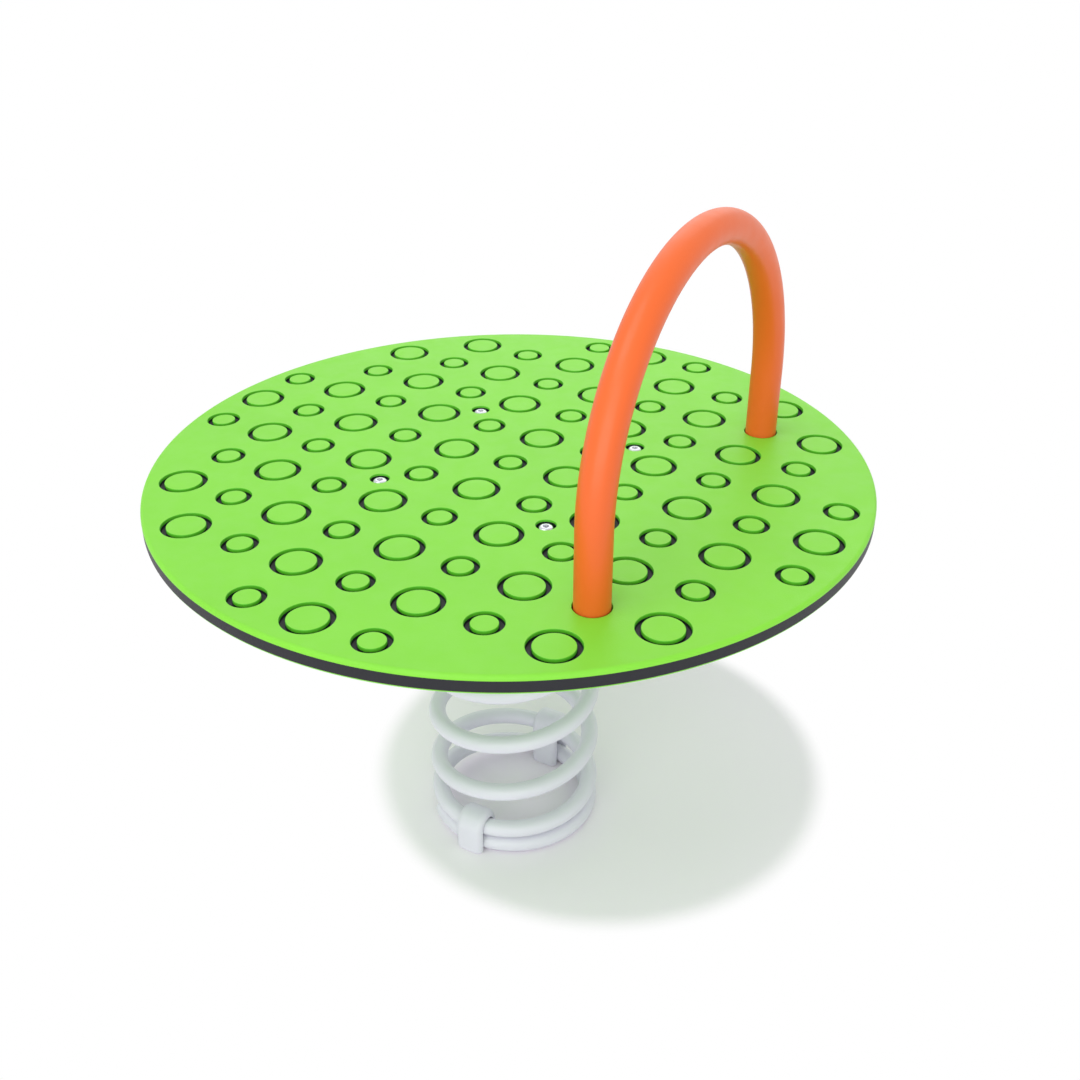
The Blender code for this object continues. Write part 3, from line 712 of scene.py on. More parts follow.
@dataclass
class Board:
    """The round sheet with its ring grooves, recesses and holes."""

    top: float = 0.470
    radius: float = 0.380
    thickness: float = 0.019
    edge: float = 0.004
    upper_skin: float = 0.0047
    lower_skin: float = 0.003
    cut_skin: float = 0.0034
    recess_skin: float = 0.0023
    grid_step: float = 0.068
    pattern_radius: float = 0.350
    large_ring: float = 0.025
    small_ring: float = 0.0185
    groove_width: float = 0.0059
    groove_depth: float = 0.0065
    lip: float = 0.0004
    floor_round: float = 0.0009
    border: float = 0.0005
    rim_border: float = 0.002
    handle_hole: float = 0.0184
    handle_reach: float = 0.204
    bolt_circle: float = 0.140
    bolt_recess: float = 0.0107
    bolt_shaft: float = 0.0055
    bolt_seat: float = 0.0077
    edge_steps: int = 8
    skin_steps: int = 6
    core_steps: int = 3
    lip_steps: int = 3
    low_lip_steps: int = 2
    floor_steps: int = 2
    face_play: float = 1e-5
    rim_sides: int = 288
    large_sides: int = 56
    small_sides: int = 44
    hole_sides: int = 64
    recess_sides: int = 40
    finishes: tuple[Finish, ...] = (GREEN_SKIN, GREEN_CUT_AND_SHADE, BLACK_CORE, BLACK_FLOOR_PAINTED_LIT)

    @property
    def bottom(self) -> float:
        """Height of the underside."""
        return self.top - self.thickness

    def ring_centres(self, large: bool) -> Array:
        """Grid nodes that carry the large or the small rings, but those under the handle.

        Args:
            large: Whether the large rings are asked for.

        Returns:
            (x, y) of each ring.
        """
        reach = int(self.pattern_radius / self.grid_step)
        steps = np.arange(-reach, reach + 1)
        column, row = (side.reshape(-1) for side in np.meshgrid(steps, steps, indexing="ij"))
        inside = np.hypot(column, row) * self.grid_step <= self.pattern_radius
        legs = round(self.handle_reach / self.grid_step)
        under_handle = (column == legs) & (np.abs(row) == legs)
        odd = (column + row) % 2 == 1
        chosen = inside & ~under_handle & (odd == large)
        return np.stack([column, row], axis=1)[chosen] * self.grid_step

    def ring_profile(self, radius: float) -> tuple[Array, list[Layer]]:
        """Profile of one ring groove, from the board's face round it in to the island.

        The outer lip and the inner lip are quarter rounds, and so are the corners of the floor.

        Args:
            radius: Outer radius of the groove at the board's face.

        Returns:
            (radius, height) of each row, and what each band shows.
        """
        outer = radius - self.lip
        inner = radius - self.groove_width
        bend = self.floor_round
        low = self.top - self.groove_depth + bend
        high = self.top - self.lip
        skin = self.top - self.cut_skin
        narrow = inner - self.lip
        rows = [
            [(radius + self.border, self.top)],
            arc((radius, high), self.lip, 90, 180, self.lip_steps),
            [(outer, skin)],
            arc((outer - bend, low), bend, 0, -90, self.floor_steps),
            arc((inner + bend, low), bend, -90, -180, self.floor_steps),
            [(inner, skin)],
            arc((narrow, high), self.lip, 0, 90, self.lip_steps),
            [(narrow - self.border, self.top)],
        ]
        half = self.floor_steps // 2
        # The walls take the routed finish, darkened as painted shade.
        wall = [Layer.CUT_AND_SHADE] * (1 + self.lip_steps)
        core = [Layer.CORE] * (1 + half)
        # The floor takes the core's lighter copy, painted lit from above.
        floor = [Layer.PAINTED_LIT_FLOOR] * (1 + 2 * half)
        bands = [Layer.SKIN, *wall, *core, *floor, *core, *wall, Layer.SKIN]
        return np.concatenate(rows), bands

    def hole_profile(self, radius: float, step: float, shaft: float) -> tuple[Array, list[Layer]]:
        """Profile of a hole through the board, with a recess in its upper part.

        Args:
            radius: Radius at the board's face.
            step: Depth of the recess.
            shaft: Radius below the recess.

        Returns:
            (radius, height) of each row, and what each band shows.
        """
        wall = radius - self.lip
        shaft = min(shaft, wall)
        seat = self.top - step
        ledge = [(wall, seat), (shaft, seat)] if shaft < wall else []
        skin = self.top - (self.recess_skin if ledge else self.cut_skin)
        low_lip = (shaft + self.lip, self.bottom + self.lip)
        rows = [
            [(radius + self.border, self.top)],
            arc((radius, self.top - self.lip), self.lip, 90, 180, self.lip_steps),
            [(wall, skin), *ledge, (shaft, self.bottom + self.lower_skin)],
            arc(low_lip, self.lip, 180, 270, self.low_lip_steps),
            [(shaft + self.lip + self.border, self.bottom)],
        ]
        # The walls take the routed finish, darkened as painted shade.
        upper = [Layer.CUT_AND_SHADE] * (1 + self.lip_steps)
        core = [Layer.CORE] * (1 + len(ledge))
        lower = [Layer.CUT_AND_SHADE] * (1 + self.low_lip_steps)
        return np.concatenate(rows), [Layer.SKIN, *upper, *core, *lower, Layer.SKIN]

    def rim_profile(self) -> tuple[Array, list[Layer]]:
        """Profile of the board's edge, from its underside round to its top.

        Returns:
            (radius, height) of each row, and what each band shows.
        """
        middle = self.radius - self.edge
        low = (middle, self.bottom + self.edge)
        split = -math.degrees(math.asin(1 - self.lower_skin / self.edge))
        rows = [
            [(middle - self.rim_border, self.bottom)],
            arc(low, self.edge, -90, split, self.skin_steps),
            arc(low, self.edge, split, 0, self.core_steps)[1:],
            [(self.radius, self.top - self.upper_skin)],
            arc((middle, self.top - self.edge), self.edge, 0, 90, self.edge_steps),
            [(middle - self.rim_border, self.top)],
        ]
        lower = [Layer.SKIN] * (1 + self.skin_steps)
        core = [Layer.CORE] * (1 + self.core_steps)
        upper = [Layer.SKIN] * (2 + self.edge_steps)
        return np.concatenate(rows), lower + core + upper

    def build(self) -> None:
        """Builds the board with its flat faces filled between the rims of its cuts."""
        skin = Skin()
        rows, bands = self.rim_profile()
        skin.add_grids(turned(rows, self.rim_sides), bands)
        for large, sides in ((True, self.large_sides), (False, self.small_sides)):
            rows, bands = self.ring_profile(self.large_ring if large else self.small_ring)
            index = skin.add_grids(turned(rows, sides, self.ring_centres(large)), bands)
            skin.close(index, [End.LAST])
        rows, bands = self.hole_profile(self.handle_hole, 0.0, self.handle_hole)
        legs = leg_places(self.handle_reach)
        skin.add_grids(turned(rows, self.hole_sides, legs), bands)
        rows, bands = self.hole_profile(self.bolt_recess, self.bolt_seat, self.bolt_shaft)
        bolts = polar(self.bolt_circle, DIAGONALS)
        skin.add_grids(turned(rows, self.recess_sides, bolts), bands)
        board = skin.make("board_sheet", self.finishes, ["board"], sharp=50.0)
        self.fill_face(board, self.top, 1.0)
        self.fill_face(board, self.bottom, -1.0)

    def fill_face(self, board: bpy.types.Object, height: float, way: float) -> None:
        """Fills a flat face of the board between the open edges at its height.

        Args:
            board: The board, open there.
            height: Height of the face.
            way: 1 where the face looks up, -1 where it looks down.
        """
        bm = bmesh.new()
        bm.from_mesh(board.data)
        edges = [
            edge
            for edge in bm.edges
            if edge.is_boundary
            and all(abs(vert.co.z - height) < self.face_play for vert in edge.verts)
        ]
        filled = bmesh.ops.triangle_fill(bm, edges=edges, use_beauty=True, normal=(0, 0, way))
        for face in filled["geom"]:
            if isinstance(face, bmesh.types.BMFace):
                face.smooth = True
                if face.normal.z * way < 0:
                    face.normal_flip()
        bm.to_mesh(board.data)
        bm.free()


@dataclass
class Handle:
    """The arched tube, its foot flanges and their screws."""

    board_bottom: float = 0.451
    board_thickness: float = 0.019
    reach: float = 0.204
    tube: float = 0.01685
    bore: float = 0.01425
    bore_depth: float = 0.050
    leg_height: float = 0.0721
    leg_rows: int = 7
    arch_steps: int = 144
    tube_sides: int = 56
    flange: Ring = Ring(0.0475, bore=0.006, thickness=0.006, edge=0.0012, edge_steps=4, sides=96)
    screw_circle: float = 0.034
    screw: HexHead = HexHead(flats=0.013, height=0.0055, collar=0.0085, collar_height=0.0015)

    @property
    def flange_bottom(self) -> float:
        """Height of the flanges' lower faces."""
        return self.board_bottom - SEAT_GAP - self.flange.thickness

    def build_tube(self) -> None:
        """Sweeps a round section up one leg, over a half circle and down the other leg.

        At both ends the surface turns round the wall and goes on inside the bore.
        """
        centre = self.board_bottom + self.board_thickness + self.leg_height
        inside = [self.board_bottom + self.bore_depth, self.board_bottom]
        leg = np.linspace(self.board_bottom, centre, self.leg_rows + 1)[:-1]
        line, out = hoop(np.concatenate([inside, leg]), centre, self.reach, self.arch_steps)
        path = np.insert(line, 0, self.reach, axis=1)
        radius = np.full(len(path), self.tube)
        radius[[0, 1, -2, -1]] = self.bore
        section = arc((0, 0), 1.0, 0, 360, self.tube_sides)[:-1] * radius[:, None, None]
        across = np.array([1.0, 0.0, 0.0])
        skin = Skin()
        skin.close(skin.add_grids(swept(path, across, np.insert(out, 0, 0, axis=1), section)))
        skin.make("handle_tube", [ORANGE_COAT], ["handle"])

    def build_flanges(self) -> None:
        """Turns a round flange with a drain hole for each leg."""
        skin = Skin()
        self.flange.add_to(skin, leg_places(self.reach), self.flange_bottom)
        skin.make("handle_flanges", [ZINC], ["handle_foot_left", "handle_foot_right"])

    def build_screws(self) -> None:
        """Makes the flanged hexagon screws of both feet, heads down."""
        around = polar(self.screw_circle, DIAGONALS)
        centres = (leg_places(self.reach)[:, None] + around).reshape(-1, 2)
        skin = Skin()
        self.screw.add_to(skin, centres, self.flange_bottom - SEAT_GAP, upside_down=True)
        names = [f"foot_screw_{side}_{n}" for side in ("left", "right") for n in (1, 2, 3, 4)]
        skin.make("handle_screws", [ZINC], names, sharp=35.0)

    def build(self) -> None:
        """Builds the tube, the flanges and the screws."""
        self.build_tube()
        self.build_flanges()
        self.build_screws()


@dataclass
class Spring:
    """The coil, as two lengths of wire that meet at its middle.

    The wire's axis is (R cos a, R sin a, z(t)), with a = start + 360 t after t turns. From its
    cut end it lies flat, climbs over itself within the first turn, and then opens to an even
    pitch. The upper end is the lower one turned over.
    """

    coil_radius: float = 0.0915
    wire_radius: float = 0.010
    turn_count: float = 8.0
    start_degrees: float = 228.0
    end_gap: float = 0.0003
    flat_turns: float = 0.56
    opening_turns: float = 0.7
    bottom_axis: float = 0.0105
    top_axis: float = 0.4224
    bend_reach: float = 0.075
    seam_reach: float = 0.012
    cut_round: float = 0.0008
    tangent_turns: float = 1e-4
    steps_per_turn: int = 72
    wire_sides: int = 32

    def end_rise(self, t: Array) -> Array:
        """Height over the cut end after t turns.

        It is climb * s(t) + pitch * v^2 / (2 w) while v < w, and goes on with slope pitch, where
        s is a smooth step from the flat length to one turn, v = t - 1 and w is the opening.

        Args:
            t: Turns from the cut end.

        Returns:
            The rise at each t.
        """
        climb = 2 * self.wire_radius + self.end_gap
        half = (self.top_axis - self.bottom_axis) / 2
        pitch = (half - climb) / (self.turn_count / 2 - 1 - self.opening_turns / 2)
        share = np.clip((t - self.flat_turns) / (1 - self.flat_turns), 0, 1)
        smooth = share**2 * (3 - 2 * share)
        past = np.maximum(t - 1, 0)
        opening = past**2 / (2 * self.opening_turns)
        rise = np.where(past < self.opening_turns, opening, past - self.opening_turns / 2)
        return climb * smooth + pitch * rise

    def axis_points(self, t: Array) -> Array:
        """Points of the wire's axis after t turns.

        Args:
            t: Turns from the lower cut end.

        Returns:
            (x, y, z) of each point.
        """
        lower = self.bottom_axis + self.end_rise(t)
        upper = self.top_axis - self.end_rise(self.turn_count - t)
        height = np.where(t <= self.turn_count / 2, lower, upper)
        angle = np.radians(self.start_degrees) + 2 * np.pi * t
        x = self.coil_radius * np.cos(angle)
        y = self.coil_radius * np.sin(angle)
        return np.stack([x, y, height], axis=1)

    def wire(self, name: str, first: float, last: float) -> bpy.types.Object:
        """Sweeps a length of the wire, its cut end eased.

        Args:
            name: Name of the piece.
            first: Turns at its lower end. Where they are 0, the wire is cut there, and otherwise
                at its upper end.
            last: Turns at its upper end.

        Returns:
            The wire, closed at both ends.
        """
        t = np.linspace(first, last, round((last - first) * self.steps_per_turn) + 1)
        size = np.ones_like(t)
        ease = self.cut_round / (2 * np.pi * self.coil_radius)
        cut = 1 - self.cut_round / self.wire_radius
        if first == 0:
            t = np.insert(t, 1, t[0] + ease)
            size = np.insert(size, 0, cut)
        else:
            t = np.insert(t, -1, t[-1] - ease)
            size = np.append(size, cut)
        path = self.axis_points(t)
        step = self.tangent_turns
        along = self.axis_points(t + step) - self.axis_points(t - step)
        along /= np.linalg.norm(along, axis=1, keepdims=True)
        out = path * [1, 1, 0] / self.coil_radius
        circle = arc((0, 0), self.wire_radius, 0, 360, self.wire_sides)[:-1]
        section = circle[None] * size[:, None, None]
        skin = Skin()
        skin.close(skin.add_grids(swept(path, np.cross(out, along), out, section)))
        return skin.make(name, [GREY_COAT], ["spring"], body=None)

    def build(self) -> None:
        """Builds both lengths and bakes their places into their meshes."""
        middle = self.turn_count / 2
        lower = self.wire("spring_lower", 0.0, middle)
        upper = self.wire("spring_upper", middle, self.turn_count)
        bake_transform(lower)
        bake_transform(upper)


@dataclass
class Clamp:
    """A strap bent over the two end turns of the spring, with rounded outer edges.

    Attributes:
        name: Name of the piece.
        node: The solid that it stands for.
        body: The body that carries it.
        degrees: Its direction from the spring's axis.
        seat: Height that it stands on or hangs from.
    """

    name: str
    node: str
    body: Body
    degrees: float
    seat: float
    upside_down: bool = False
    outer: float = 0.1018
    inner: float = 0.0784
    width: float = 0.034
    thickness: float = 0.008
    edge: float = 0.0072
    inner_edge: float = 0.0006
    foot_edge: float = 0.003
    edge_steps: int = 8
    inner_steps: int = 3
    foot_rows: int = 6
    leg_rows: int = 5
    bend_steps: int = 48

    @property
    def height(self) -> float:
        """How far its solid reaches from the seat."""
        low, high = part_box(self.node)
        return self.seat - low.z if self.upside_down else high.z - self.seat

    def section(self) -> Array:
        """Cross-section of the strap as (across, out), anticlockwise from its inner face.

        Returns:
            Its points, on quarter rounds at the four corners.
        """
        half = self.width / 2
        high = self.thickness - self.edge
        flat = half - self.edge
        low = self.inner_edge
        corners = [
            arc((-half + low, low), low, 180, 270, self.inner_steps),
            arc((half - low, low), low, -90, 0, self.inner_steps),
            arc((flat, high), self.edge, 0, 90, self.edge_steps),
            arc((-flat, high), self.edge, 90, 180, self.edge_steps),
        ]
        return np.concatenate(corners)

    def foot_inset(self, z: Array) -> Array:
        """How far the outline draws in at each height, a quarter round at the foot."""
        rise = np.clip(self.foot_edge - z, 0, None)
        return self.foot_edge - np.sqrt(self.foot_edge**2 - rise**2)

    def inward(self, side: Array, out: Array) -> Array:
        """Way that each point of the section moves for one unit of inset.

        Args:
            side: Unit vector across the strap.
            out: Unit vector out of the strap at each row.

        Returns:
            Array of rows, columns and 3. The inner face stays where it is.
        """
        across, outward = self.section().T
        narrow = across[:, None] / (self.width / 2) * side
        thin = (outward / self.thickness)[None, :, None] * out[:, None]
        return -(narrow[None] + thin)

    def build(self) -> None:
        """Sweeps the strap up its outer leg, over a half circle and down its inner leg."""
        bend = (self.outer - self.inner) / 2
        bend_height = self.height - self.thickness - bend
        lift = self.foot_edge * (1 - np.cos(np.linspace(0, np.pi / 2, self.foot_rows)))
        rest = np.linspace(self.foot_edge, bend_height, self.leg_rows + 2)[1:-1]
        line, aim = hoop(np.concatenate([lift, rest]), bend_height, bend, self.bend_steps)
        r, z = line.T
        r = r + (self.outer + self.inner) / 2
        way = math.radians(self.degrees)
        radial = np.array([math.cos(way), math.sin(way), 0.0])
        side = np.array([math.sin(way), -math.cos(way), 0.0])
        up = np.array([0.0, 0.0, 1.0])
        path = r[:, None] * radial + (self.seat + z)[:, None] * up
        out = aim[:, :1] * radial + aim[:, 1:] * up
        points = swept(path, side, out, self.section())
        points += self.foot_inset(z)[:, None, None] * self.inward(side, out)
        if self.upside_down:
            points = turned_over(points, self.seat)
        skin = Skin()
        skin.close(skin.add_grids(points))
        skin.make(self.name, [GREY_COAT], [self.node], self.body, sharp=50.0)


@dataclass
class HeadDish:
    """The pressed dish under the board, with the washers and nuts in its hollow."""

    rim_top: float = 0.4507
    sheet: float = 0.005
    depth: float = 0.013
    bend: float = 0.0055
    spread: float = 0.003
    floor_flat: float = 0.1145
    rim: float = 0.160
    drain: float = 0.015
    edge: float = 0.0012
    bend_steps: int = 10
    edge_steps: int = 4
    sides: int = 144
    legs: tuple[float, float] = (0.1058, 0.0744)
    stud: Thread = Thread(radius=0.004, pitch=0.00125)
    stud_sink: float = 0.001
    stud_over_nut: float = 0.0018
    washer: Ring = Ring(radius=0.008, bore=stud.radius + THREAD_PLAY, thickness=0.0016)
    nut: HexHead = HexHead(flats=0.013, height=0.0065, bore=stud.radius + THREAD_PLAY)

    @property
    def clamp_seat(self) -> float:
        """Height that the clamps under the dish hang from."""
        return self.rim_top - self.depth - self.sheet - SEAT_GAP

    def midline(self) -> Array:
        """Middle of the sheet from the drain hole out to the rim.

        Returns:
            (radius, height) of each point.
        """
        floor = self.rim_top - self.depth - self.sheet / 2
        rim = self.rim_top - self.sheet / 2
        slope = math.degrees(math.atan2(self.depth - 2 * self.bend, self.spread))
        far = self.floor_flat + 2 * self.bend + self.spread
        near_bend = (self.floor_flat, floor + self.bend)
        points = [
            [(self.drain + self.edge, floor)],
            arc(near_bend, self.bend, -90, slope - 90, self.bend_steps),
            arc((far, rim - self.bend), self.bend, slope + 90, 90, self.bend_steps),
            [(self.rim - self.edge, rim)],
        ]
        return np.concatenate(points)

    def build_sheet(self) -> None:
        """Turns the sheet: its midline shifted to both sides, with eased edges."""
        line = self.midline()
        along = np.gradient(line, axis=0)
        along /= np.linalg.norm(along, axis=1, keepdims=True)
        aside = np.stack([-along[:, 1], along[:, 0]], axis=1)
        aside[0] = aside[-1] = (0, 1)
        half = self.sheet / 2
        lower = line - half * aside
        upper = line + half * aside
        (hole, floor), (reach, rim) = line[0], line[-1]
        edge, steps = self.edge, self.edge_steps
        rows = [
            lower[1:-1],
            arc((reach, rim - half + edge), edge, -90, 0, steps),
            arc((reach, rim + half - edge), edge, 0, 90, steps),
            upper[1:-1][::-1],
            arc((hole, floor + half - edge), edge, 90, 180, steps),
            arc((hole, floor - half + edge), edge, 180, 270, steps),
        ]
        skin = Skin()
        skin.add_grids(turned(np.concatenate(rows), self.sides), wrap_rows=True)
        skin.make("dish_sheet", [ZINC], ["head_dish"])

    def build_nuts(self) -> None:
        """Adds washers and nuts in the hollow, on the studs of the upper clamps."""
        centres = np.concatenate([polar(leg, (0, 180)) for leg in self.legs])
        floor = self.rim_top - self.depth + SEAT_GAP
        washer_top = floor + self.washer.thickness
        stud_top = washer_top + self.nut.height + self.stud_over_nut
        skin = Skin()
        self.washer.add_to(skin, centres, floor)
        self.nut.add_to(skin, centres, washer_top + SEAT_GAP)
        self.stud.add_to(skin, centres, floor - self.sheet - self.stud_sink, stud_top)
        names = [
            f"clamp_{kind}_{end}_{leg}"
            for kind in ("washer", "nut")
            for end in ("front", "rear")
            for leg in ("outer", "inner")
        ]
        skin.make("clamp_nuts", [ZINC], names, sharp=35.0)

    def build(self) -> None:
        """Builds the dish and what is in it."""
        self.build_sheet()
        self.build_nuts()


@dataclass
class BoardBolts:
    """Button head bolts from the top, with washers and nuts under the dish's rim.

    The four socket shares are the sizes of the socket at its mouth, below it, above its floor
    and at its floor.
    """

    circle: float = 0.140
    seat: float = 0.4623
    head: float = 0.00875
    head_height: float = 0.0062
    head_edge: float = 0.0004
    land: float = 0.0012
    dome_rows: int = 12
    shank_shown: float = 0.004
    socket_flats: float = 0.006
    socket_rim: float = 0.0004
    socket_depth: float = 0.0032
    socket_edge: float = 0.0002
    socket_shares: tuple[float, ...] = (1.04, 1.0, 1.0, 0.95)
    cone_depth: float = 0.0006
    cone_tip: float = 0.0008
    rim_bottom: float = 0.4457
    over_nut: float = 0.002
    thread: Thread = Thread(radius=0.005, pitch=0.0015)
    washer: Ring = Ring(radius=0.010, bore=thread.radius + THREAD_PLAY, thickness=0.002)
    nut: HexHead = HexHead(flats=0.016, height=0.009, bore=thread.radius + THREAD_PLAY)
    names: tuple[str, ...] = ("front_left", "rear_left", "rear_right", "front_right")
    sides: int = 72

    def centres(self) -> Array:
        """(x, y) of the four bolts, on the diagonals."""
        return polar(self.circle, DIAGONALS)

    def build_heads(self) -> None:
        """Turns the domed heads and sinks a hexagon socket into each.

        The dome is a quarter of an ellipse from the land up to the socket's rim. The socket's
        walls follow a hexagon, and its floor is a shallow cone.
        """
        low = self.seat + SEAT_GAP
        top = low + self.head_height
        bottom = top - self.socket_depth
        hexagonal = hexagon(self.sides, self.socket_flats)
        flat_top = hexagonal.max() + self.socket_rim
        angle = np.radians(np.linspace(0, 90, self.dome_rows))
        dome = flat_top + (self.head - flat_top) * np.cos(angle)
        rise = low + self.land + (self.head_height - self.land) * np.sin(angle)
        shank = self.thread.radius
        shaft = [shank, shank, self.head - self.head_edge, self.head]
        shaft_z = [self.seat - self.shank_shown, low, low, low + self.head_edge]
        round_part = np.concatenate([shaft, dome])[:, None] + np.zeros(self.sides)
        socket = hexagonal[None] * np.array(self.socket_shares)[:, None]
        tip = np.full((1, self.sides), self.cone_tip)
        radii = np.concatenate([round_part, socket, tip])
        socket_z = [top, top - self.socket_edge, bottom + self.socket_edge, bottom]
        heights = np.concatenate([shaft_z, rise, socket_z, [bottom - self.cone_depth]])
        skin = Skin()
        # The socket's walls and floor take a near-black copy of the stainless, painted shade.
        bands = [0] * (len(round_part) + 2) + [1] * 2
        index = skin.add_grids(outlined(radii, heights, self.centres()), bands)
        skin.close(index, [End.FIRST])
        skin.close(index, [End.LAST], band=1)
        names = [f"board_bolt_{n}" for n in self.names]
        skin.make("bolt_heads", [STAINLESS, SOCKET_PAINTED_SHADE], names, sharp=38.0)

    def build_nuts(self) -> None:
        """Makes the washers, nuts and threaded ends under the rim of the dish."""
        washer_bottom = self.rim_bottom - SEAT_GAP - self.washer.thickness
        seat = washer_bottom - SEAT_GAP
        tip = seat - self.nut.height - self.over_nut
        skin = Skin()
        self.washer.add_to(skin, self.centres(), washer_bottom)
        self.nut.add_to(skin, self.centres(), seat, upside_down=True)
        self.thread.add_to(skin, self.centres(), tip, self.rim_bottom)
        names = [f"board_{kind}_{n}" for kind in ("washer", "nut") for n in self.names]
        skin.make("bolt_nuts", [STAINLESS], names, sharp=35.0)

    def build(self) -> None:
        """Builds heads and nuts."""
        self.build_heads()
        self.build_nuts()


# Surroundings


@dataclass(frozen=True)
class Lamp:
    """A wide far light.

    Attributes:
        name: Name of the lamp.
        direction: The way to the lamp from the part.
        energy: Its strength.
        angle: How wide it looks from the part, in degrees.
        distance: How far from the part it hangs.
    """

    name: str
    direction: tuple[float, float, float]
    energy: float
    angle: float
    distance: float = 3.0

    def build(self) -> None:
        """Hangs the lamp where it shines on the part."""
        data = bpy.data.lights.new(self.name, "SUN")
        data.energy = self.energy
        data.angle = math.radians(self.angle)
        lamp = bpy.data.objects.new(self.name, data)
        way = Vector(self.direction).normalized()
        lamp.rotation_euler = way.to_track_quat("Z", "Y").to_euler()
        lamp.location = way * self.distance
        bpy.context.collection.objects.link(lamp)


def background_rays(tree: bpy.types.NodeTree) -> Socket:
    """Adds a switch to a node tree for the rays that show the background.

    Args:
        tree: The tree that gets it.

    Returns:
        1 on rays from the camera, off a glossy surface or through glass, and 0 on others.
    """
    path = add_node(tree, "ShaderNodeLightPath", {})
    found = path["Is Camera Ray"]
    for name in ("Is Glossy Ray", "Is Transmission Ray"):
        pair = {0: found, 1: path[name]}
        found = add_node(tree, "ShaderNodeMath", pair, operation="MAXIMUM")["Value"]
    return found


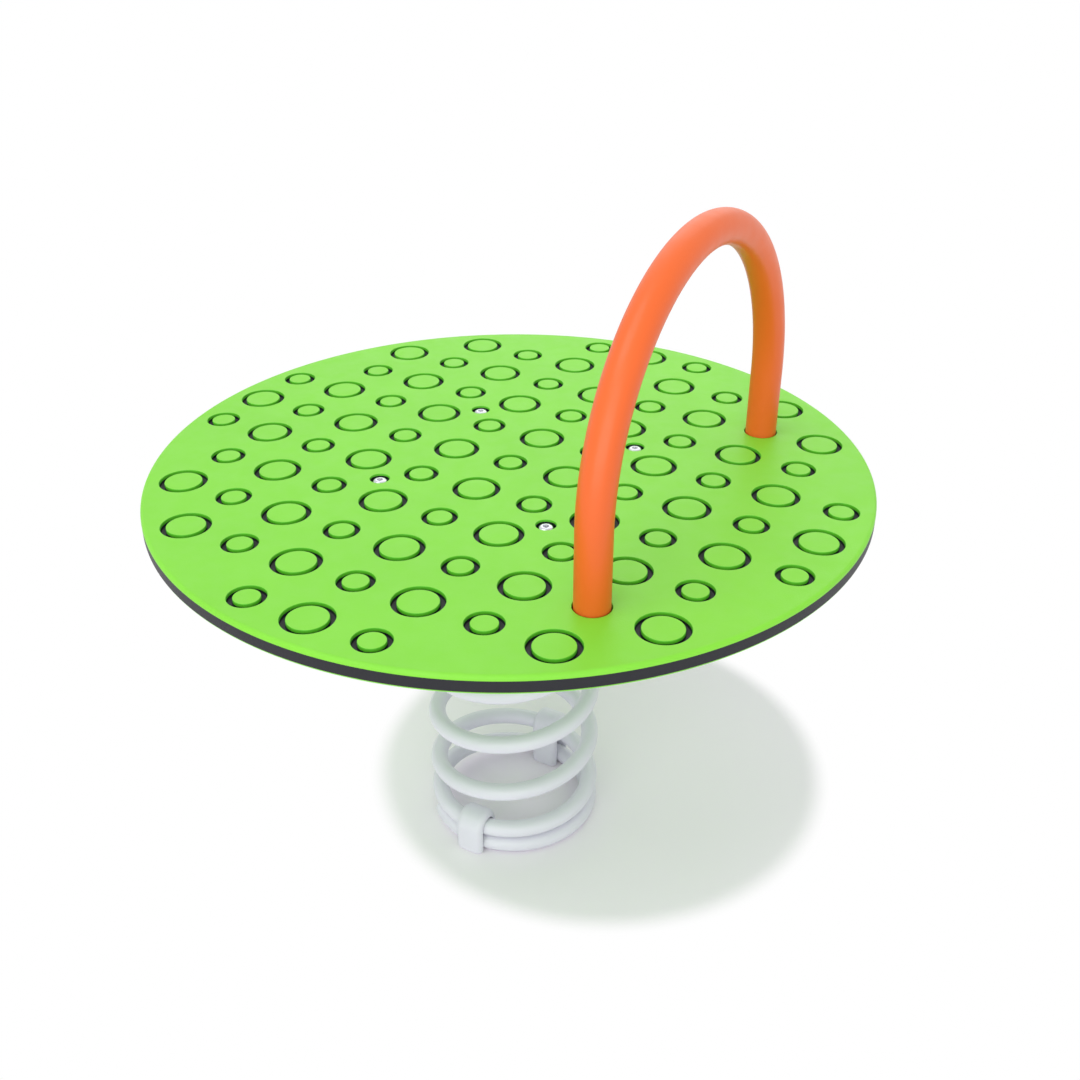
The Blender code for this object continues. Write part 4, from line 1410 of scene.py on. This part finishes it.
@dataclass
class Studio:
    """Pale floor, soft light and the photograph's camera."""

    eye: tuple[float, float, float] = (0.605, -1.003, 1.060)
    look: tuple[float, float, float] = (-0.42563, 0.75051, -0.50554)
    focal_pixels: float = 1229.3
    picture_pixels: float = 1080.0
    sensor: float = 36.0
    sight: float = 100.0
    floor_half: float = 20.0
    floor_colour: Colour = (0.965, 0.92, 0.97)
    shadow_centre: tuple[float, float, float] = (0.058, 0.118, 0.0)
    shadow_reach: tuple[float, float] = (0.262, 0.298)
    sky: float = 0.65
    sky_colour: Colour = (0.98, 0.985, 1.03)
    lamps: tuple[Lamp, ...] = (
        Lamp("overhead_lamp", (-0.22, -0.42, 1.0), 0.70, 40.0),
        Lamp("front_lamp", (0.30, -0.90, 0.24), 1.32, 60.0),
        Lamp("back_lamp", (-0.30, 0.85, 0.60), 0.40, 50.0),
    )

    def build_camera(self) -> None:
        """Puts the camera where the photograph was taken from."""
        data = bpy.data.cameras.new("camera")
        data.sensor_width = self.sensor
        data.lens = self.focal_pixels * self.sensor / self.picture_pixels
        data.clip_end = self.sight
        camera = bpy.data.objects.new("camera", data)
        camera.location = self.eye
        camera.rotation_euler = Vector(self.look).to_track_quat("-Z", "Y").to_euler()
        bpy.context.collection.objects.link(camera)
        bpy.context.scene.camera = camera

    def floor_material(self) -> bpy.types.Material:
        """A pale floor that takes shadows near the part and is seen plain white far from it.

        Returns:
            The floor's material.
        """
        material = bpy.data.materials.new("floor")
        material.use_nodes = True
        tree = material.node_tree
        tree.nodes.clear()
        place = add_node(tree, "ShaderNodeTexCoord", {})["Object"]
        ends = {0: place, 1: self.shadow_centre}
        length = add_node(tree, "ShaderNodeVectorMath", ends, operation="DISTANCE")["Value"]
        low, high = self.shadow_reach
        span = {"Value": length, "From Min": low, "From Max": high}
        smooth = {"interpolation_type": "SMOOTHSTEP"}
        share = add_node(tree, "ShaderNodeMapRange", span, **smooth)["Result"]
        pair = {0: share, 1: background_rays(tree)}
        shown = add_node(tree, "ShaderNodeMath", pair, operation="MULTIPLY")["Value"]
        colour = {"Color": (*self.floor_colour, 1.0)}
        near = add_node(tree, "ShaderNodeBsdfDiffuse", colour)["BSDF"]
        far = add_node(tree, "ShaderNodeEmission", {"Strength": 1.0})["Emission"]
        mix = add_node(tree, "ShaderNodeMixShader", {"Fac": shown, 1: near, 2: far})["Shader"]
        add_node(tree, "ShaderNodeOutputMaterial", {"Surface": mix})
        return material

    def build_floor(self) -> None:
        """Lays the floor at the height that the clamps stand on."""
        corners = np.array([(-1, -1), (1, -1), (1, 1), (-1, 1)]) * self.floor_half
        mesh = bpy.data.meshes.new("floor")
        mesh.from_pydata([(x, y, 0.0) for x, y in corners.tolist()], [], [(0, 1, 2, 3)])
        mesh.materials.append(self.floor_material())
        floor = bpy.data.objects.new("floor", mesh)
        bpy.context.collection.objects.link(floor)

    def build_light(self) -> None:
        """Lights the part from a bright sky, which is seen white, and from wide lamps."""
        world = bpy.data.worlds.new("sky")
        world.use_nodes = True
        tree = world.node_tree
        sky = tree.nodes["Background"]
        feed(sky, {"Color": (*self.sky_colour, 1.0), "Strength": self.sky})
        plain = {"Color": (1.0, 1.0, 1.0, 1.0), "Strength": 1.0}
        white = add_node(tree, "ShaderNodeBackground", plain)["Background"]
        inputs = {"Fac": background_rays(tree), 1: sky.outputs["Background"], 2: white}
        mix = add_node(tree, "ShaderNodeMixShader", inputs)["Shader"]
        feed(tree.nodes["World Output"], {"Surface": mix})
        bpy.context.scene.world = world
        for lamp in self.lamps:
            lamp.build()

    def build(self) -> None:
        """Builds camera, floor and light, and keeps colours as they are written."""
        self.build_camera()
        self.build_floor()
        self.build_light()
        bpy.context.scene.view_settings.view_transform = "Standard"


def clamps(seat: float) -> list[Clamp]:
    """The two clamps on the ground and the two under the dish.

    Args:
        seat: Height that those under the dish hang from.

    Returns:
        The four straps.
    """
    return [
        Clamp("ground_strap_right", "lower_clamp_right", Body.GROUND, 270.0, 0.0),
        Clamp("ground_strap_left", "lower_clamp_left", Body.GROUND, 90.0, 0.0),
        Clamp("dish_strap_front", "upper_clamp_front", Body.PLATFORM, 0.0, seat, upside_down=True),
        Clamp("dish_strap_rear", "upper_clamp_rear", Body.PLATFORM, 180.0, seat, upside_down=True),
    ]


def main() -> None:
    """Loads the solids and builds the looks round them."""
    logging.basicConfig(level=logging.INFO, format="%(name)s: %(message)s")
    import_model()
    dish = HeadDish()
    parts = [*clamps(dish.clamp_seat), Spring(), dish, Board(), BoardBolts(), Handle(), Studio()]
    for part in parts:
        part.build()


if __name__ == "__main__":
    main()
